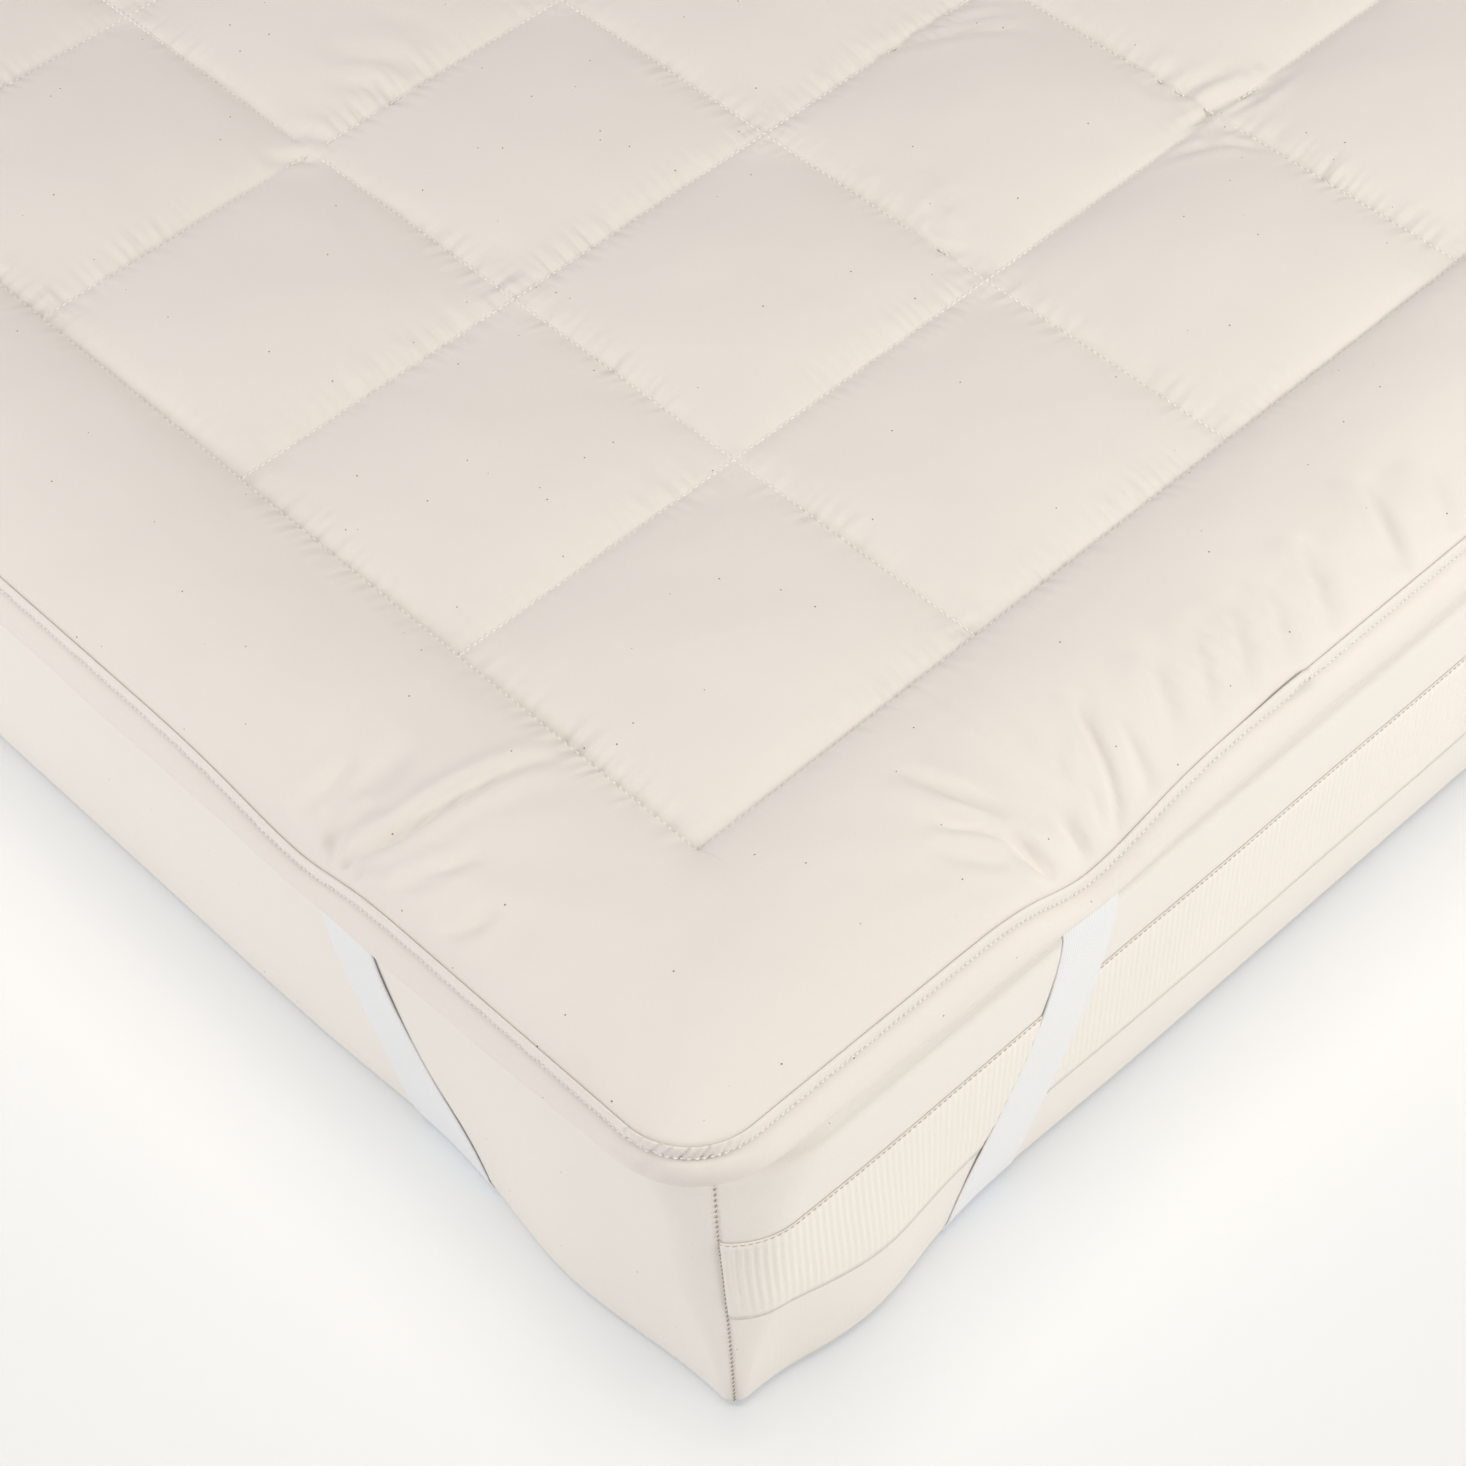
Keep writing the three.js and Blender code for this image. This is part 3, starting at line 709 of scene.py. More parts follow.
def make_pad(material):
    near, far = BORDER_STEPS
    xs = grid_lines(QUILT_CELLS[0], CELL[0], STEPS_X, far, near)
    ys = grid_lines(QUILT_CELLS[1], CELL[1], STEPS_Y, near, far)
    bm = bmesh.new()
    bmesh.ops.create_grid(bm, x_segments=len(xs) - 1, y_segments=len(ys) - 1, size=1)
    flat = bm.loops.layers.uv.new("flat")
    places = {}
    for v in bm.verts:
        i = round((v.co.x + 1) / 2 * (len(xs) - 1))
        j = round((v.co.y + 1) / 2 * (len(ys) - 1))
        places[v] = xs[i], ys[j]
    for face in bm.faces:
        for loop in face.loops:
            x, y = places[loop.vert]
            loop[flat].uv = x * MM, y * MM
    stations = {}
    for v, (fx, fy) in places.items():
        x, y = pad_plan(fx, fy)
        if abs(fx) <= QUILT[0] and abs(fy) <= QUILT[1]:
            z = quilted_height(x, y)
        else:
            z = border_height(x, y, station_at(fx, fy)[0])
        v.co = place(x, y, z)
        if v.is_boundary:
            stations[v] = station_at(fx, fy)
    edges = [e for e in bm.edges if e.is_boundary]

    def seam_drop(station):
        x, y, _ = outline_point(SEAM, station)
        return x, y, seam_height(station[0], x, y)

    def wall_top(station):
        x, y, z = seam_drop(station)
        return place(x, y, z)

    for v in stations:
        v.co = wall_top(stations[v])

    def wall_bottom(station):
        x, y, z = seam_drop(station)
        return place(x, y, z - TAPE_HEIGHT - 2 * TAPE_GAP)

    edges = next_ring(edges, bm, stations, wall_bottom)

    def lip(reach, fall):
        def position(station):
            x, y, z = seam_drop(station)
            z -= TAPE_HEIGHT + 2 * TAPE_GAP
            lx, ly, _ = outline_point(LIP, station)
            swell = 1 + waver(LIP_SWELL, lx, ly)
            swell -= LIP_TUCK * tuck_depth(station, LIP_TUCKS, 14 * fall) * (1 - fall)
            bottom = lip_bottom(lx, ly)
            return place(
                x + (lx - x) * reach * swell,
                y + (ly - y) * reach * swell,
                z + (bottom - z) * fall,
            )
        return position

    for reach, fall in LIP_SECTION:
        edges = next_ring(edges, bm, stations, lip(reach, fall))

    def under(offset, z):
        """A ring under the pad, level, or following the lip's edge if it has no height."""
        def position(station):
            x, y, _ = outline_point(mattress_outline(offset, z or LIP_BOTTOM_Z), station)
            return place(x, y, z or lip_bottom(x, y) + 1.5)
        return position

    edges = next_ring(edges, bm, stations, under(DRAPE_GAP, None))
    radius = TOP_EDGE + DRAPE_GAP
    for step in range(1, 4):
        angle = step / 3 * math.pi / 2
        inset = radius * math.cos(angle) - TOP_EDGE
        z = MATTRESS_TOP - TOP_EDGE + radius * math.sin(angle)
        edges = next_ring(edges, bm, stations, under(inset, z))
    edges = next_ring(edges, bm, stations, under(-TOP_EDGE - PAD_UNDER_INSET, UNDERSIDE_Z))
    bmesh.ops.contextual_create(bm, geom=edges)
    return closed_object("quilted_pad", bm, material)


def ring_stations(spacing, corner_spacing=None):
    """Stations all round the seam, about spacing apart, closer on its corner arcs if asked."""
    places = []
    arc = BORDER * (1 - STRAIGHT_SHARE)
    finer = corner_spacing or spacing
    for side, (way, _) in enumerate(SIDES):
        reach = extent(SEAM_HALF, way)
        parts = (
            (-reach, -reach + arc, finer),
            (-reach + arc, reach - arc, spacing),
            (reach - arc, reach, finer),
        )
        for low, high, pitch in parts:
            count = math.ceil((high - low) / pitch)
            for k in range(count):
                places.append(side_station(side, low + (high - low) * k / count))
    return places


def side_station(side, along):
    """The station at a distance along one side of the flat pad's edge."""
    half = extent(QUILT, SIDES[side][0])
    share = (abs(along) - half) / BORDER
    if share <= 0:
        return side, along, 0.0, None
    foot = math.copysign(half, along)
    if share <= STRAIGHT_SHARE:
        return side, foot, share / STRAIGHT_SHARE, None
    turn = (share - STRAIGHT_SHARE) / (1 - STRAIGHT_SHARE) * math.pi / 4
    return side, foot, 1.0, turn


def first_ring(bm, stations, places, position):
    verts = []
    for station in places:
        v = bm.verts.new(position(station))
        stations[v] = station
        verts.append(v)
    return [bm.edges.new((verts[k - 1], verts[k])) for k in range(len(verts))]


def run_along_seam(places):
    """Distance run along the seam at each of its stations."""
    total, before, runs = 0.0, None, {}
    for station in places:
        x, y, _ = outline_point(SEAM, station)
        if before:
            total += math.hypot(x - before[0], y - before[1])
        before = (x, y)
        runs[station] = total
    return runs


# The folded tape round the edge. Its section: how far out from the seam and how far down, from
# the inner leg's foot over the fold to the outer leg's foot. It is one strip, folded double.
TAPE_SECTION = (
    (0.55, 7.0),
    (0.55, 1.6),
    (0.3, 0.3),
    (-0.05, -0.7),
    (0.45, -1.15),
    (1.35, -0.5),
    (1.75, 1.6),
    (1.85, 4.4),
    (1.8, 6.1),
    (1.6, 7.3),
)
TAPE_CLOTH = 0.4
# Small gathers where the tape and lip turn each corner: degrees from its middle, width, depth
CORNER_TUCKS = (
    (-46, 1.6, 1.6),
    (-40, 1.1, 0.8),
    (-34, 1.3, 1.1),
    (-28, 1.2, 0.9),
    (-21, 1.8, 2.4),
    (-14, 1.1, 1.2),
    (-9, 1.1, 0.8),
    (-3, 1.3, 1.5),
    (4, 1.1, 1.0),
    (10, 1.2, 1.4),
    (16, 1.1, 1.0),
    (23, 1.2, 1.2),
    (31, 1.2, 0.8),
    (40, 1.4, 0.7),
)
LIP_TUCKS = ((-33, 4.2, 1.6), (-19, 4.6, 2.4), (-4, 4.0, 0.7), (12, 4.5, 0.8), (28, 5.0, 0.5))
# Where the tape's end laps over its start, on one side, a distance along it
TAPE_LAP = (1, -279.0, 45.0)


def tuck_depth(station, tucks, lean):
    side, _, _, turn = station
    if turn is None:
        return 0.0
    angle = 45 - math.degrees(turn)
    angle = -angle if side % 2 == 0 else angle
    return sum(depth * bump(angle + lean - middle, width) for middle, width, depth in tucks)


def tape_lap(side, along):
    """How much further out the tape stands where its end lies over its start."""
    place_side, joint, length = TAPE_LAP
    if side != place_side or along > joint:
        return 0.0
    return 1.1 * smooth((along - joint + length) / length) + 0.8 * smooth((along - joint + 9) / 9)


def lap_lift(side, along, down):
    """How far the tape rises there: its fold stands up, and its cut end tapers to a tip."""
    place_side, joint, _ = TAPE_LAP
    before = joint - along
    if side != place_side or before < 0:
        return 0.0
    fold = 2.0 * bump(before - 16, 24) * smooth(before / 5) * smooth((4.5 - down) / 4)
    tip = 5.0 * smooth((22 - before) / 22) * smooth((down - 2.5) / 3)
    return fold + tip


def tape_tucks(station, lean):
    """How far the tape is drawn in where it turns a corner."""
    return min(TAPE_TUCK * tuck_depth(station, CORNER_TUCKS, lean), TAPE_TUCK_MOST)


def tape_wave(run):
    """How the tape's lower edge is scalloped by its stitches."""
    return TAPE_SCALLOP * math.cos(2 * math.pi * run / TAPE_STITCH_PITCH)


def make_tape(material):
    places = ring_stations(TAPE_STITCH_PITCH / 2, TAPE_STITCH_PITCH / 4)
    runs = run_along_seam(places)
    bm = bmesh.new()
    stations = {}

    def at(out, down):
        def position(station):
            x, y, normal = outline_point(SEAM, station)
            side, run = station[0], runs[station]
            along = dot((x, y), SIDES[side][0])
            sag = TAPE_SAG * uneven(run / SAG_LENGTH, 0.5, 0.0)
            low = smooth((down - 4) / 2.5)
            loose = smooth((out - 0.6) / 0.6)
            proud = out + low * tape_wave(run) * loose
            proud += TAPE_UNEVEN * uneven(run / UNEVEN_LENGTHS[0], down / UNEVEN_LENGTHS[1], 3.0) * loose
            proud += tape_lap(side, along) * loose
            proud -= tape_tucks(station, 0.9 * down - 3) * loose
            z = seam_height(side, x, y) - down - sag * loose
            z += lap_lift(side, along, down) * smooth((out - 0.1) / 0.3)
            return place(x + normal[0] * proud, y + normal[1] * proud, z)
        return position

    edges = first_ring(bm, stations, places, at(*TAPE_SECTION[0]))
    for out, down in TAPE_SECTION[1:]:
        edges = next_ring(edges, bm, stations, at(out, down))
    face_along(bm, max(bm.faces, key=lambda face: face.calc_center_median().x), (1, 0))
    piece = sheet_object("edge_tape", bm, material, TAPE_CLOTH, -1)
    width = sum(math.dist(a, b) for a, b in zip(TAPE_SECTION, TAPE_SECTION[1:]))
    return piece, (width * MM, (max(runs.values()) + TAPE_LAP[2]) * MM)


# Stitches: each is a short thread with pointed ends, and a row of them is one mesh. Its rings:
# a share of its length, of its thickness, and how high the ring stands.
STITCH_RINGS = ((-0.5, 0.35, -0.35), (-0.22, 1, 0.12), (0.22, 1, 0.12), (0.5, 0.35, -0.35))


def add_stitch(bm, middle, forward, up, stitch):
    """One stitch, four-sided, sunk at its ends."""
    length, thick = (size * MM for size in stitch)
    side = forward.cross(up).normalized()
    rings = []
    for share, size, lift in STITCH_RINGS:
        centre = middle + forward * (share * length) + up * (lift * thick)
        ring = []
        for a, b in ((1, 0), (0, 1), (-1, 0), (0, -1)):
            ring.append(bm.verts.new(centre + (side * a + up * b) * (thick / 2 * size)))
        rings.append(ring)
    for low, high in zip(rings, rings[1:]):
        for k in range(4):
            bm.faces.new((low[k - 1], high[k - 1], high[k], low[k]))
    bm.faces.new(rings[0][::-1])
    bm.faces.new(rings[-1])


def make_quilting(material):
    bm = bmesh.new()
    up = Vector((0, 0, 1))
    for axis in (0, 1):
        other = 1 - axis
        forward = Vector((1, 0, 0)) if axis == 0 else Vector((0, 1, 0))
        count = round(2 * QUILT[axis] / STITCH_PITCH)
        for line in range(QUILT_CELLS[other] + 1):
            across = -QUILT[other] + line * CELL[other]
            for k in range(count):
                along = -QUILT[axis] + (k + 0.5) * 2 * QUILT[axis] / count
                spot = (along, across) if axis == 0 else (across, along)
                middle = place(*spot, STITCH_Z + STITCH_UP)
                turned = Matrix.Rotation(rng.uniform(-STITCH_TURN, STITCH_TURN), 3, "Z") @ forward
                add_stitch(bm, middle, turned, up, STITCH)
    return closed_object("quilting_thread", bm, material)


def make_tape_stitches(material):
    places = ring_stations(TAPE_STITCH_PITCH / 4)
    runs = run_along_seam(places)
    bm = bmesh.new()
    total = max(runs.values())
    count = round(total / TAPE_STITCH_PITCH)
    k = 0
    for index, station in enumerate(places[:-1]):
        if runs[station] < (k + 0.5) * total / count:
            continue
        k += 1
        x, y, normal = outline_point(SEAM, station)
        nx, ny, _ = outline_point(SEAM, places[index + 1])
        along = dot((x, y), SIDES[station[0]][0])
        z = seam_height(station[0], x, y) - TAPE_STITCH_DOWN + lap_lift(station[0], along, TAPE_STITCH_DOWN)
        out = Vector((normal[0], normal[1], 0))
        forward = (Vector((nx, ny, 0)) - Vector((x, y, 0))).normalized()
        proud = TAPE_STITCH_OUT + tape_lap(station[0], along) - tape_tucks(station, 2.5)
        middle = place(x + normal[0] * proud, y + normal[1] * proud, z)
        add_stitch(bm, middle, forward, out, TAPE_STITCH)
    return closed_object("tape_stitches", bm, material)


# Mattress

def mattress_outline(offset, z):
    """The mattress's outline at a height, with its corners tighter towards the foot."""
    radius = MATTRESS_FOOT_RADIUS + (MATTRESS_WAIST_RADIUS - MATTRESS_FOOT_RADIUS) * smooth(z / WAIST_Z)
    radius += (MATTRESS_RADIUS - MATTRESS_WAIST_RADIUS) * smooth((z - WIDEN_Z) / WIDEN_STRETCH)
    return grown((MATTRESS_CENTRE, MATTRESS_HALF, radius), offset)


def corner_seam(side, z):
    """Where the cover's corner seam lies on a corner's arc: a turn from the side's middle way."""
    lean = SEAM_LEAN * smooth(z / SEAM_LEAN_TOP) / max(mattress_outline(0, z)[2], 10)
    return math.pi / 4 - lean if side % 2 == 0 else math.pi / 4 + lean


def mattress_section():
    rows = []
    for step in range(5):
        angle = (1 - step / 4) * math.pi / 2
        rows.append((FOOT_EDGE * (math.cos(angle) - 1), FOOT_EDGE * (1 - math.sin(angle))))
    rows += [(0.0, float(z)) for z in PLAIN_LEVELS]
    for step in range(6):
        angle = step / 5 * math.pi / 2
        rows.append((TOP_EDGE * (math.cos(angle) - 1), MATTRESS_TOP - TOP_EDGE * (1 - math.sin(angle))))
    return rows


MATTRESS_ROWS = mattress_section()


def mattress_inset(z):
    for (a, low), (b, high) in zip(MATTRESS_ROWS, MATTRESS_ROWS[1:]):
        if z <= high:
            return a + (b - a) * (z - low) / (high - low)
    return MATTRESS_ROWS[-1][0]


def mattress_swell(station, x, y, z):
    """How far the cover stands out from its plain form at a station."""
    side, _, _, turn = station
    swell = mattress_pinch(side, from_corner(side, x, y), z)
    swell += COVER_UNEVEN * uneven(x / 130, y / 130, z / 60) * smooth(z / 30) * smooth((200 - z) / 40)
    if turn is not None:
        from_seam = (corner_seam(side, z) - turn) * max(mattress_outline(0, z)[2], 10)
        swell -= GROOVE * bump(from_seam, GROOVE_WIDTH) * smooth(z / 8)
    return swell


def mattress_point(station, offset, z):
    x, y, normal = outline_point(mattress_outline(offset, z), station)
    swell = mattress_swell(station, x, y, z)
    return x + normal[0] * swell, y + normal[1] * swell, normal


def make_mattress(material):
    places = ring_stations(*MATTRESS_SPACING)
    bm = bmesh.new()
    stations = {}

    def at(offset, z):
        def position(station):
            x, y, _ = mattress_point(station, offset, z)
            return place(x, y, z)
        return position

    edges = first_ring(bm, stations, places, at(*MATTRESS_ROWS[0]))
    first = list(edges)
    for offset, z in MATTRESS_ROWS[1:]:
        edges = next_ring(edges, bm, stations, at(offset, z))
    bmesh.ops.contextual_create(bm, geom=edges)
    edges = first
    for inset in FOOT_INSETS:
        def inner(station, inset=inset):
            x, y, _ = outline_point(mattress_outline(-inset, 0), station)
            return place(x, y, foot_lift(x, y))
        edges = next_ring(edges, bm, stations, inner)
    bmesh.ops.contextual_create(bm, geom=edges)
    return closed_object("mattress_body", bm, material)


def strap_distance(strap, z):
    share = max(0.0, STRAP_BEND_Z - z) / STRAP_BEND_Z
    return strap["from_corner"] - strap["sweep"] * share ** strap["bend"]


def foot_lift(x, y):
    """The underside gives way over each strap."""
    a = MATTRESS_HALF[0] - abs(x - MATTRESS_CENTRE[0])
    b = MATTRESS_HALF[1] - abs(y - MATTRESS_CENTRE[1])
    edge = FOOT_EDGE * (math.pi / 2 - 1)
    reach_x = strap_distance(SIDE_STRAP, FOOT_EDGE) + edge
    reach_y = strap_distance(END_STRAP, FOOT_EDGE) + edge
    away = (a + edge) / reach_x + (b + edge) / reach_y - 1
    away *= reach_x * reach_y / math.hypot(reach_x, reach_y)
    return FOOT_LIFT * bump(max(abs(away) - LIFT_HALF, 0), LIFT_EDGE)


# Straps: level cuts across the strap, down one face, round the foot, and under the corner

def on_face(corner, face, distance, girth, lift):
    other = 1 - face
    side = 1 if face == 0 else 0
    turn = min(max(-girth / FOOT_EDGE, 0), math.pi / 2)
    z = max(girth, 0) + FOOT_EDGE * (1 - math.sin(turn))
    offset = mattress_inset(z) + mattress_pinch(side, distance, z)
    point = [0.0, 0.0, z - lift * math.sin(turn)]
    out = MATTRESS_HALF[face] + offset + lift * math.cos(turn)
    point[face] = MATTRESS_CENTRE[face] + corner[face] * out
    point[other] = MATTRESS_CENTRE[other] + corner[other] * (MATTRESS_HALF[other] - distance)
    return point


def strap_rows(corner, face):
    """Rows of points across a strap, from its top down one face to the flat underside."""
    strap, other = (END_STRAP, SIDE_STRAP) if face == 0 else (SIDE_STRAP, END_STRAP)
    edge = FOOT_EDGE * (math.pi / 2 - 1)
    slope_under = (strap_distance(strap, FOOT_EDGE) + edge) / (strap_distance(other, FOOT_EDGE) + edge)
    rows = []
    for k in range(STRAP_LEVELS):
        z = STRAP_TOP_Z + (FOOT_EDGE - STRAP_TOP_Z) * k / (STRAP_LEVELS - 1)
        slope = strap_distance(strap, z + 1) - strap_distance(strap, z - 1)
        blend = smooth((60 - z) / 42)
        slope = slope / 2 * (1 - blend) + slope_under * blend
        rows.append((strap_distance(strap, z), z - FOOT_EDGE, slope, 0.0))
    for step in range(1, STRAP_TURNS + 1):
        girth = -FOOT_EDGE * step / STRAP_TURNS * math.pi / 2
        middle = strap_distance(strap, FOOT_EDGE) + slope_under * girth
        rows.append((middle, girth, slope_under, step / STRAP_TURNS))
    cuts = []
    for middle, girth, slope, under in rows:
        reach = STRAP_WIDTH / 2 * math.hypot(1, slope)
        cut = []
        for c in range(STRAP_COLUMNS):
            share = -1 + 2 * c / (STRAP_COLUMNS - 1)
            free = smooth(girth / 40) * smooth((170 - girth) / 60)
            lift = STRAP_OFF_COVER + STRAP_LOOSE * free * smooth((-share + 0.2) / 1.2)
            lift = lift * (1 - under) - (STRAP_THICK + STRAP_SUNK) * under
            cut.append(on_face(corner, face, middle + share * reach, girth, lift))
        cuts.append(cut)
    return cuts


def make_strap(name, corner, material):
    cuts = strap_rows(corner, 0) + strap_rows(corner, 1)[::-1]
    bm = bmesh.new()
    web = bm.loops.layers.uv.new("web")
    previous, run, before = None, 0.0, None
    run_of = {}
    for cut in cuts:
        row = [bm.verts.new(place(*point)) for point in cut]
        centre = row[STRAP_COLUMNS // 2].co
        run += (centre - before).length if before else 0.0
        before = centre.copy()
        for c, v in enumerate(row):
            run_of[v] = (c / (STRAP_COLUMNS - 1) * STRAP_WIDTH * MM, run)
        if previous:
            for c in range(STRAP_COLUMNS - 1):
                bm.faces.new((previous[c], previous[c + 1], row[c + 1], row[c]))
        previous = row
    for face in bm.faces:
        for loop in face.loops:
            loop[web].uv = run_of[loop.vert]
    face_along(bm, bm.faces[:][len(bm.faces) // 8], (corner[0], 0))
    return sheet_object(name, bm, material, STRAP_THICK, 1, even=True, edge=0.35), run


# Ribbed bands on the two ends of the mattress, and the seams at its corners

def band_station(side, a, z):
    """The station a distance from the middle of an end, round to its corner seams."""
    way = SIDES[side][0]
    radius = mattress_outline(0, z)[2]
    straight = extent(MATTRESS_HALF, way) - radius
    if abs(a) <= straight:
        return side, dot(MATTRESS_CENTRE, way) + a, 0.0, None
    turn = min((abs(a) - straight) / radius, corner_seam(side, z) - 0.6 / radius)
    return side, math.copysign(extent(QUILT, way), a), 1.0, turn


def band_height(half, a, share):
    """A height on the band, from its top edge at 0 to its lower one at 1, higher by the corners."""
    away = half - abs(a)
    top = BAND_TOP_Z + BAND_TOP_RISE * bump(away, BAND_CORNER_REACH[0])
    bottom = BAND_BOTTOM_Z + BAND_BOTTOM_RISE * bump(away, BAND_CORNER_REACH[1])
    return top + (bottom - top) * share


def make_band(name, side, material):
    half = extent(MATTRESS_HALF, SIDES[side][0]) + 2
    count = round(2 * half / (RIB_PITCH / 4))
    bm = bmesh.new()
    previous = None
    for r in range(BAND_ROWS + 1):
        row = []
        for k in range(count + 1):
            a = -half + 2 * half * k / count
            z = band_height(half, a, r / BAND_ROWS)
            station = band_station(side, a, z)
            x, y, normal = mattress_point(station, 0.0, z)
            rib = 0.5 + 0.5 * math.cos(math.pi * k / 2)
            proud = 0.1 + (0.75 + 0.6 * rib) * min(1.0, (BAND_ROWS - r) / 3) if r else 0.3
            row.append(bm.verts.new(place(x + normal[0] * proud, y + normal[1] * proud, z)))
        if previous:
            for c in range(len(row) - 1):
                bm.faces.new((previous[c], row[c], row[c + 1], previous[c + 1]))
        previous = row
    bmesh.ops.remove_doubles(bm, verts=bm.verts, dist=0.02 * MM)
    face_along(bm, bm.faces[:][len(bm.faces) // 2], SIDES[side][1])
    return sheet_object(name, bm, material, BAND_CLOTH, -1)


def make_corner_stitches(material):
    bm = bmesh.new()
    for side, sign in ((0, 1), (0, -1), (2, 1), (2, -1)):
        foot = math.copysign(extent(QUILT, SIDES[side][0]), sign)
        z, top = CORNER_SEAM_Z
        while z < top:
            station = (side, foot, 1.0, corner_seam(side, z))
            x, y, normal = mattress_point(station, mattress_inset(z), z)
            outward = Vector((normal[0], normal[1], 0))
            middle = place(x + normal[0] * CORNER_STITCH_OUT, y + normal[1] * CORNER_STITCH_OUT, z)
            along = Vector((-normal[1], normal[0], 0)) * CORNER_STITCH_LEAN + Vector((0, 0, 1))
            add_stitch(bm, middle, along.normalized(), outward, CORNER_STITCH)
            z += CORNER_STITCH_PITCH
    return closed_object("corner_seam_thread", bm, material)


def make_band_stitches(material):
    bm = bmesh.new()
    for side in (1, 3):
        way = SIDES[side][0]
        half = extent(MATTRESS_HALF, way) - 4
        count = round(2 * half / BAND_STITCH_PITCH)
        for k in range(count):
            a = -half + 2 * half * (k + 0.5) / count
            z = band_height(half, a, 0) - BAND_STITCH_DOWN
            x, y, normal = mattress_point(band_station(side, a, z), 0.0, z)
            outward = Vector((normal[0], normal[1], 0))
            forward = Vector((-normal[1], normal[0], 0))
            spot = place(x + normal[0] * BAND_STITCH_OUT, y + normal[1] * BAND_STITCH_OUT, z)
            add_stitch(bm, spot, forward, outward, BAND_STITCH)
    return closed_object("band_thread", bm, material)


# Materials

def add_node(tree, kind, inputs, **settings):
    """A node with its settings, and each input given a value or linked from an output."""
    node = tree.nodes.new("ShaderNode" + kind)
    for name, value in settings.items():
        setattr(node, name, value)
    for key, value in inputs.items():
        if isinstance(value, bpy.types.NodeSocket):
            tree.links.new(value, node.inputs[key])
        else:
            node.inputs[key].default_value = value
    return node


def add_math(tree, operation, *values):
    return add_node(tree, "Math", dict(enumerate(values)), operation=operation).outputs[0]


def add_noise(tree, vector, scale, detail=2.0):
    inputs = {"Vector": vector, "Scale": scale, "Detail": detail}
    return add_node(tree, "TexNoise", inputs).outputs["Fac"]


def add_range(tree, value, low, high, to_low=0.0, to_high=1.0, kind="LINEAR"):
    inputs = {"Value": value, "From Min": low, "From Max": high, "To Min": to_low, "To Max": to_high}
    return add_node(tree, "MapRange", inputs, interpolation_type=kind).outputs["Result"]


def add_colours(tree, factor, low, high, kind="MIX"):
    inputs = {"Factor": factor, "A": low, "B": high}
    return add_node(tree, "Mix", inputs, data_type="RGBA", blend_type=kind).outputs["Result"]


def add_bump(tree, under, height, distance, strength):
    """A bump, its distance in millimetres, that feeds the normal of the node under it."""
    inputs = {"Height": height, "Distance": distance * MM, "Strength": strength}
    bumped = add_node(tree, "Bump", inputs)
    tree.links.new(bumped.outputs["Normal"], under.inputs["Normal"])


def shader_group(name, inputs, outputs):
    """A group of nodes: its tree, the sockets that it is given, and those that it puts out."""
    group = bpy.data.node_groups.new(name, "ShaderNodeTree")
    for label, kind, value in inputs:
        socket = group.interface.new_socket(label, in_out="INPUT", socket_type=kind)
        if value is not None:
            socket.default_value = value
    for label in outputs:
        group.interface.new_socket(label, in_out="OUTPUT", socket_type="NodeSocketFloat")
    given = group.nodes.new("NodeGroupInput").outputs
    return group, given, group.nodes.new("NodeGroupOutput").inputs


def flecks_group():
    """Sparse seed-coat flecks in unbleached cotton: a mask, 1 on a fleck."""
    sockets = (
        ("Vector", "NodeSocketVector", None),
        ("Scale", "NodeSocketFloat", 40.0),
        ("Size", "NodeSocketFloat", 0.03),
    )
    group, given, out = shader_group("cotton_flecks", sockets, ("Mask",))
    cells = add_node(group, "TexVoronoi", {"Vector": given["Vector"], "Scale": given["Scale"]})
    near = add_math(group, "LESS_THAN", cells.outputs["Distance"], given["Size"])
    chance = add_node(group, "SeparateColor", {"Color": cells.outputs["Color"]})
    picked = add_math(group, "GREATER_THAN", chance.outputs["Red"], FLECK_CHANCE)
    group.links.new(add_math(group, "MULTIPLY", near, picked), out["Mask"])
    return group


def weave_group():
    """A plain weave's height, and a tone with slow clouds and a fine grain."""
    sockets = (("Vector", "NodeSocketVector", None), ("Threads", "NodeSocketFloat", COTTON_THREADS))
    group, given, out = shader_group("plain_weave", sockets, ("Height", "Tone"))
    vector = given["Vector"]
    waves = []
    for way in ("X", "Y"):
        inputs = {"Vector": vector, "Scale": given["Threads"], "Distortion": 1.2, "Detail": 1.0}
        waves.append(add_node(group, "TexWave", inputs, bands_direction=way).outputs["Fac"])
    slubs = add_noise(group, vector, 900.0)
    height = add_math(group, "MULTIPLY_ADD", add_math(group, "ADD", *waves), 0.5, slubs)
    group.links.new(height, out["Height"])
    clouds = add_noise(group, vector, 9.0, detail=3.0)
    grain = add_noise(group, vector, 650.0)
    tone = add_node(group, "Mix", {"Factor": 0.45, "A": clouds, "B": grain})
    group.links.new(tone.outputs["Result"], out["Tone"])
    return group


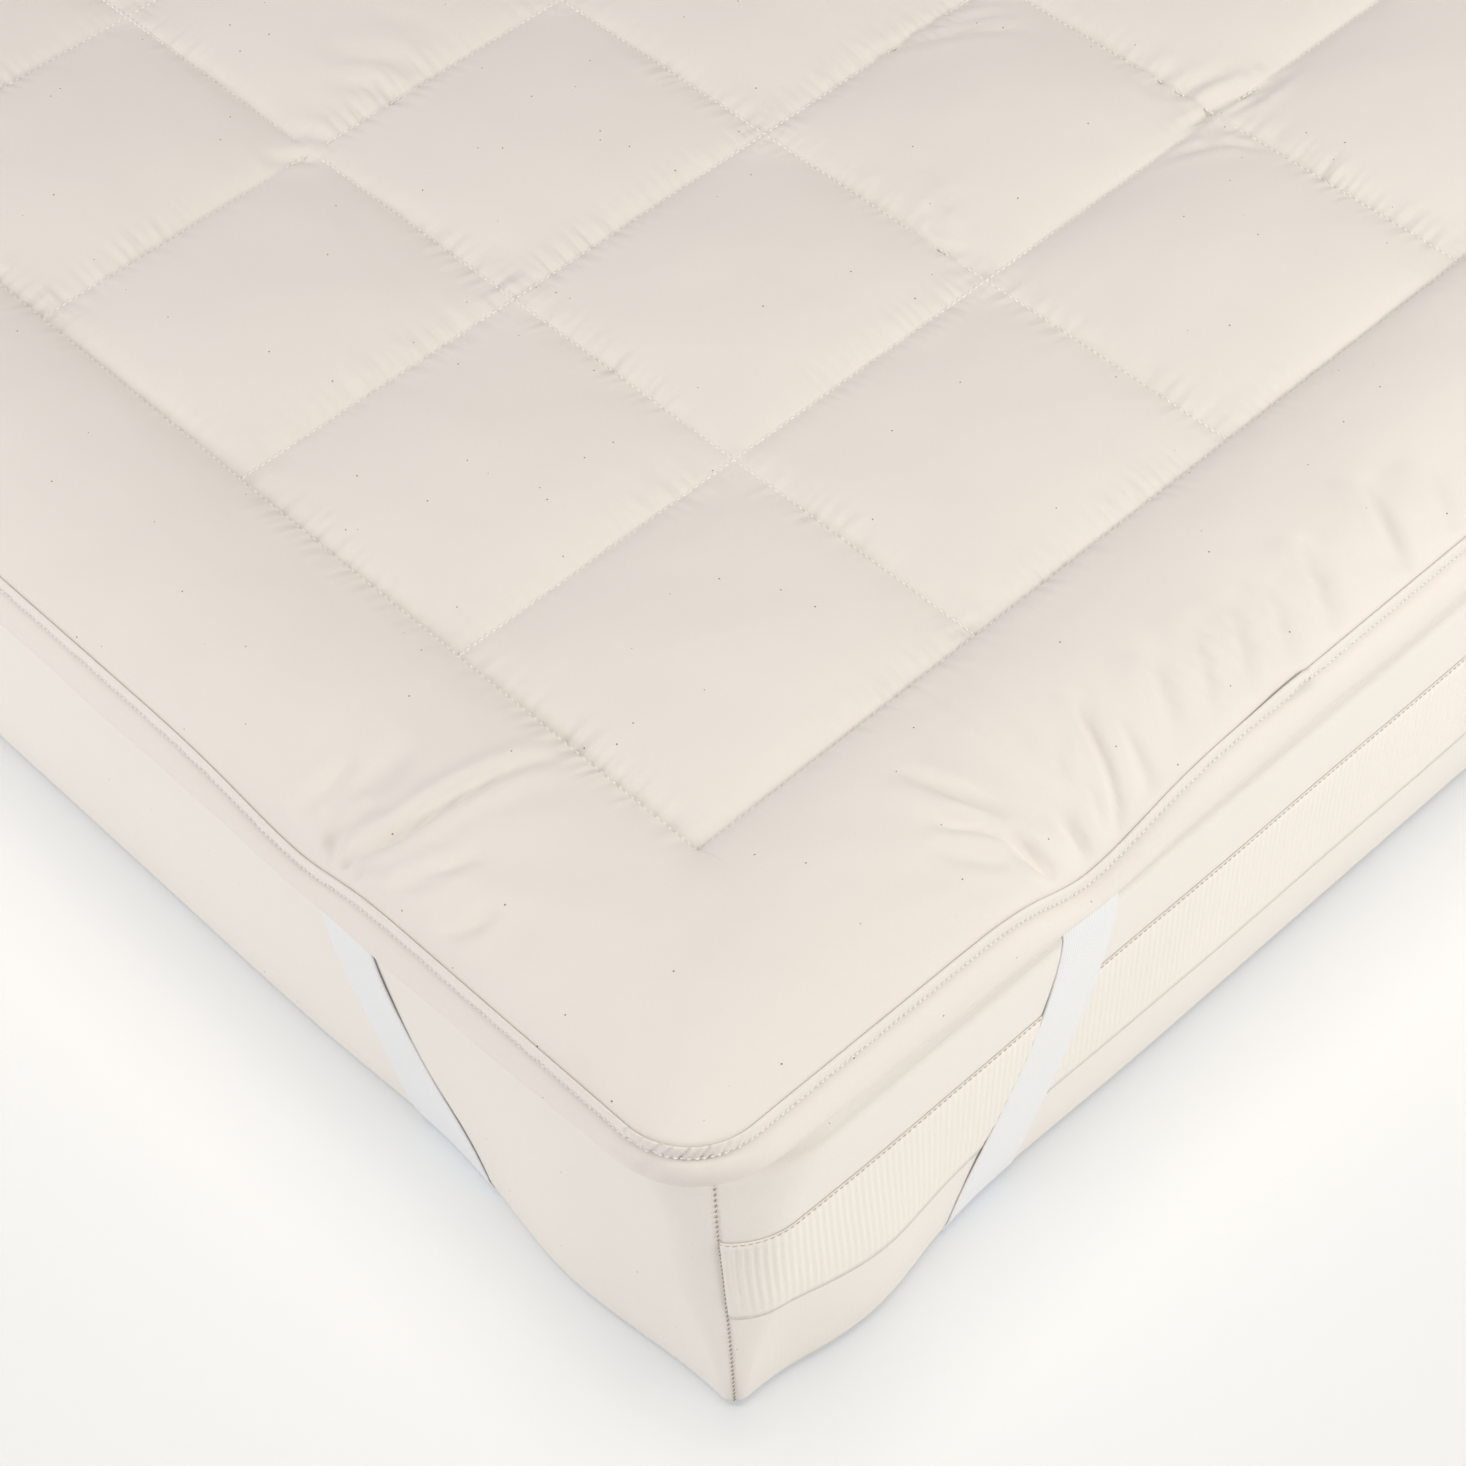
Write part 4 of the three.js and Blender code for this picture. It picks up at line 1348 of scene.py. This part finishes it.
def gathers_group():
    """Fine gathers beside the rows of stitches, uneven along them, from the flat pad's plan."""
    sockets = (("Vector", "NodeSocketVector", None),)
    group, given, out = shader_group("stitch_gathers", sockets, ("Height",))
    vector = given["Vector"]
    plan = add_node(group, "SeparateXYZ", {"Vector": vector}).outputs
    patches = add_range(group, add_noise(group, vector, 11.0), 0.42, 0.68, to_low=0.15)
    heights = []
    for axis, stretch in ((0, (30, 170, 1)), (1, (170, 30, 1))):
        across, along = plan["XY"[axis]], plan["YX"[axis]]
        from_middle = add_math(group, "ABSOLUTE", along)
        quilted = add_math(group, "LESS_THAN", from_middle, QUILT[1 - axis] * MM)
        away = add_math(group, "PINGPONG", across, CELL[axis] * MM / 2)
        near = add_range(group, away, 0.0, GATHERS_REACH, 1.0, 0.0, kind="SMOOTHSTEP")
        drawn = add_node(group, "Mapping", {"Vector": vector, "Scale": stretch})
        folds = add_noise(group, drawn.outputs["Vector"], 1.0, detail=0.0)
        reach = add_math(group, "MULTIPLY", near, quilted)
        heights.append(add_math(group, "MULTIPLY", folds, reach))
    both = add_math(group, "ADD", *heights)
    group.links.new(add_math(group, "MULTIPLY", both, patches), out["Height"])
    return group


def principled(name, roughness, sheen=0.25):
    material = bpy.data.materials.new(name)
    material.use_nodes = True
    shader = material.node_tree.nodes["Principled BSDF"]
    shader.inputs["Roughness"].default_value = roughness
    shader.inputs["Specular IOR Level"].default_value = 0.2
    shader.inputs["Sheen Weight"].default_value = sheen
    shader.inputs["Sheen Roughness"].default_value = 0.5
    return material, material.node_tree, shader


def cloth_material(name, colour, shade, flecks_at, bump_mm, roughness=0.92, threads=COTTON_THREADS):
    material, tree, shader = principled(name, roughness)
    coords = add_node(tree, "TexCoord", {}).outputs["Object"]
    weave = add_node(tree, "Group", {"Vector": coords, "Threads": threads}, node_tree=WEAVE).outputs
    tone = add_range(tree, weave["Tone"], 0.3, 0.65)
    plain = add_colours(tree, tone, (*shade, 1), (*colour, 1))
    scale, size = flecks_at
    flecks = add_node(tree, "Group", {"Vector": coords, "Scale": scale, "Size": size}, node_tree=FLECKS)
    spotted = add_colours(tree, flecks.outputs["Mask"], plain, (*FLECK, 1))
    tree.links.new(spotted, shader.inputs["Base Color"])
    add_bump(tree, shader, weave["Height"], bump_mm, CLOTH_BUMP)
    return material


def add_gathers(material):
    """Puts the gathers under a cloth's own bump."""
    tree = material.node_tree
    own_bump = next(n for n in tree.nodes if n.type == "BUMP")
    uv = add_node(tree, "UVMap", {}, uv_map="flat")
    gathers = add_node(tree, "Group", {"Vector": uv.outputs["UV"]}, node_tree=GATHERS)
    add_bump(tree, own_bump, gathers.outputs["Height"], GATHERS_BUMP, 1.0)


def elastic_material():
    material, tree, shader = principled("white_elastic", 0.8)
    uv = add_node(tree, "UVMap", {}, uv_map="web").outputs["UV"]
    waves = []
    for way, scale in (("X", 170.0), ("Y", 260.0)):
        inputs = {"Vector": uv, "Scale": scale, "Distortion": 0.6}
        waves.append(add_node(tree, "TexWave", inputs, bands_direction=way).outputs["Fac"])
    height = add_math(tree, "ADD", *waves)
    # Painted shade: the white is darkened by up to 8% in the weave's hollows, following the bump's height
    painted_hollow_shade = add_range(tree, height, 0.0, 2.0, to_low=0.92)
    colour = add_colours(tree, 1.0, (*ELASTIC_WHITE, 1), painted_hollow_shade, kind="MULTIPLY")
    tree.links.new(colour, shader.inputs["Base Color"])
    add_bump(tree, shader, height, 0.3, 0.5)
    return material


def thread_material(name, colour):
    material, tree, shader = principled(name, 0.7)
    coords = add_node(tree, "TexCoord", {}).outputs["Object"]
    shade = (*(c * THREAD_SHADE for c in colour), 1)
    grain = add_colours(tree, add_noise(tree, coords, 700.0), shade, (*colour, 1))
    tree.links.new(grain, shader.inputs["Base Color"])
    return material


def floor_material():
    material, _, shader = principled("pale_floor", 0.9, sheen=0.0)
    shader.inputs["Base Color"].default_value = (*FLOOR_WHITE, 1)
    shader.inputs["Emission Color"].default_value = (*FLOOR_GLOW_COLOUR, 1)
    shader.inputs["Emission Strength"].default_value = FLOOR_GLOW
    return material


# Stage: floor, lights and camera

def make_stage():
    bm = bmesh.new()
    bmesh.ops.create_grid(bm, x_segments=1, y_segments=1, size=40)
    floor = new_object("floor", bm, floor_material(), smooth_faces=False)
    world = bpy.data.worlds.new("soft_room")
    world.use_nodes = True
    background = world.node_tree.nodes["Background"]
    background.inputs["Color"].default_value = (*ROOM_LIGHT, 1)
    background.inputs["Strength"].default_value = ROOM_STRENGTH
    bpy.context.scene.world = world
    for sun in SUNS:
        lamp = bpy.data.lights.new(sun.name, "SUN")
        lamp.energy = sun.strength
        lamp.angle = math.radians(sun.size)
        azimuth, rise = math.radians(sun.turn), math.radians(sun.height)
        flat = math.cos(rise)
        source = Vector((math.cos(azimuth) * flat, math.sin(azimuth) * flat, math.sin(rise)))
        add_lamp(sun.name, lamp, sun.colour, source, -source)
    for box in SOFTBOXES:
        lamp = bpy.data.lights.new(box.name, "AREA")
        lamp.shape = "DISK"
        lamp.size = box.size
        lamp.energy = box.power
        way = Vector(SOFTBOX_AIM) - Vector(box.place)
        add_lamp(box.name, lamp, box.colour, Vector(box.place) * MM, way)


def add_lamp(name, lamp, colour, spot, way):
    """A lamp that lights only the bed or only the floor, by its name."""
    lamp.color = colour
    holder = bpy.data.objects.new(name, lamp)
    bpy.context.scene.collection.objects.link(holder)
    holder.location = spot
    holder.rotation_euler = way.to_track_quat("-Z", "Y").to_euler()
    holder.visible_camera = False
    holder.light_linking.receiver_collection = BED if name.startswith("bed") else GROUND


def make_camera():
    data = bpy.data.cameras.new("photo_view")
    data.lens = CAMERA_LENS
    data.sensor_width = 36
    data.clip_start = 0.05
    data.clip_end = 100
    camera = bpy.data.objects.new("photo_view", data)
    bpy.context.scene.collection.objects.link(camera)
    spot = Vector(CAMERA_PLACE) * MM
    aim = Vector(CAMERA_AIM) * MM
    turn = (aim - spot).to_track_quat("-Z", "Y").to_matrix().to_4x4()
    roll = Matrix.Rotation(math.radians(CAMERA_ROLL), 4, "Z")
    camera.matrix_world = Matrix.Translation(spot) @ turn @ roll
    bpy.context.scene.camera = camera


FLECKS = flecks_group()
WEAVE = weave_group()
GATHERS = gathers_group()
bpy.context.scene.view_settings.view_transform = "Standard"
make_stage()
make_camera()

cotton = cloth_material("ecru_cotton", COTTON, COTTON_SHADE, (80.0, 0.040), 0.12)
add_gathers(cotton)
tape_cotton = cloth_material("tape_cotton", TAPE_CREAM, COTTON, (60.0, 0.02), 0.15, 0.88)
cover = cloth_material("mattress_knit", COVER_CREAM, COVER_SHADE, (80.0, 0.03), 0.3, 0.95, 700.0)
ribbed = cloth_material("ribbed_band", BAND_CREAM, COVER_CREAM, (60.0, 0.0), 0.3, 0.9, 900.0)
elastic = elastic_material()
thread = thread_material("ecru_thread", THREAD)
bright_thread = thread_material("tape_thread", TAPE_THREAD)
dark_thread = thread_material("brown_thread", SEAM_BROWN)
band_thread = thread_material("band_brown_thread", BAND_BROWN)

pad = make_pad(cotton)
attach(pad, "root")
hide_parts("pad")

tape, tape_flat = make_tape(tape_cotton)
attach(tape, "root")
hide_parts("binding_tape")

quilting = make_quilting(thread)
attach(quilting, "root")

tape_stitches = make_tape_stitches(bright_thread)
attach(tape_stitches, "root")

mattress = make_mattress(cover)
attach(mattress, "root")
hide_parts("mattress")

for number, corner in enumerate(CORNERS, 1):
    strap, length = make_strap(f"elastic_strap_{number}", corner, elastic)
    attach(strap, "root")
    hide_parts(f"corner_strap_{number}")

for name, side in (("ribbed_band_a", 1), ("ribbed_band_b", 3)):
    band = make_band(name, side, ribbed)
    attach(band, "root")

for piece in (make_corner_stitches(dark_thread), make_band_stitches(band_thread)):
    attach(piece, "root")
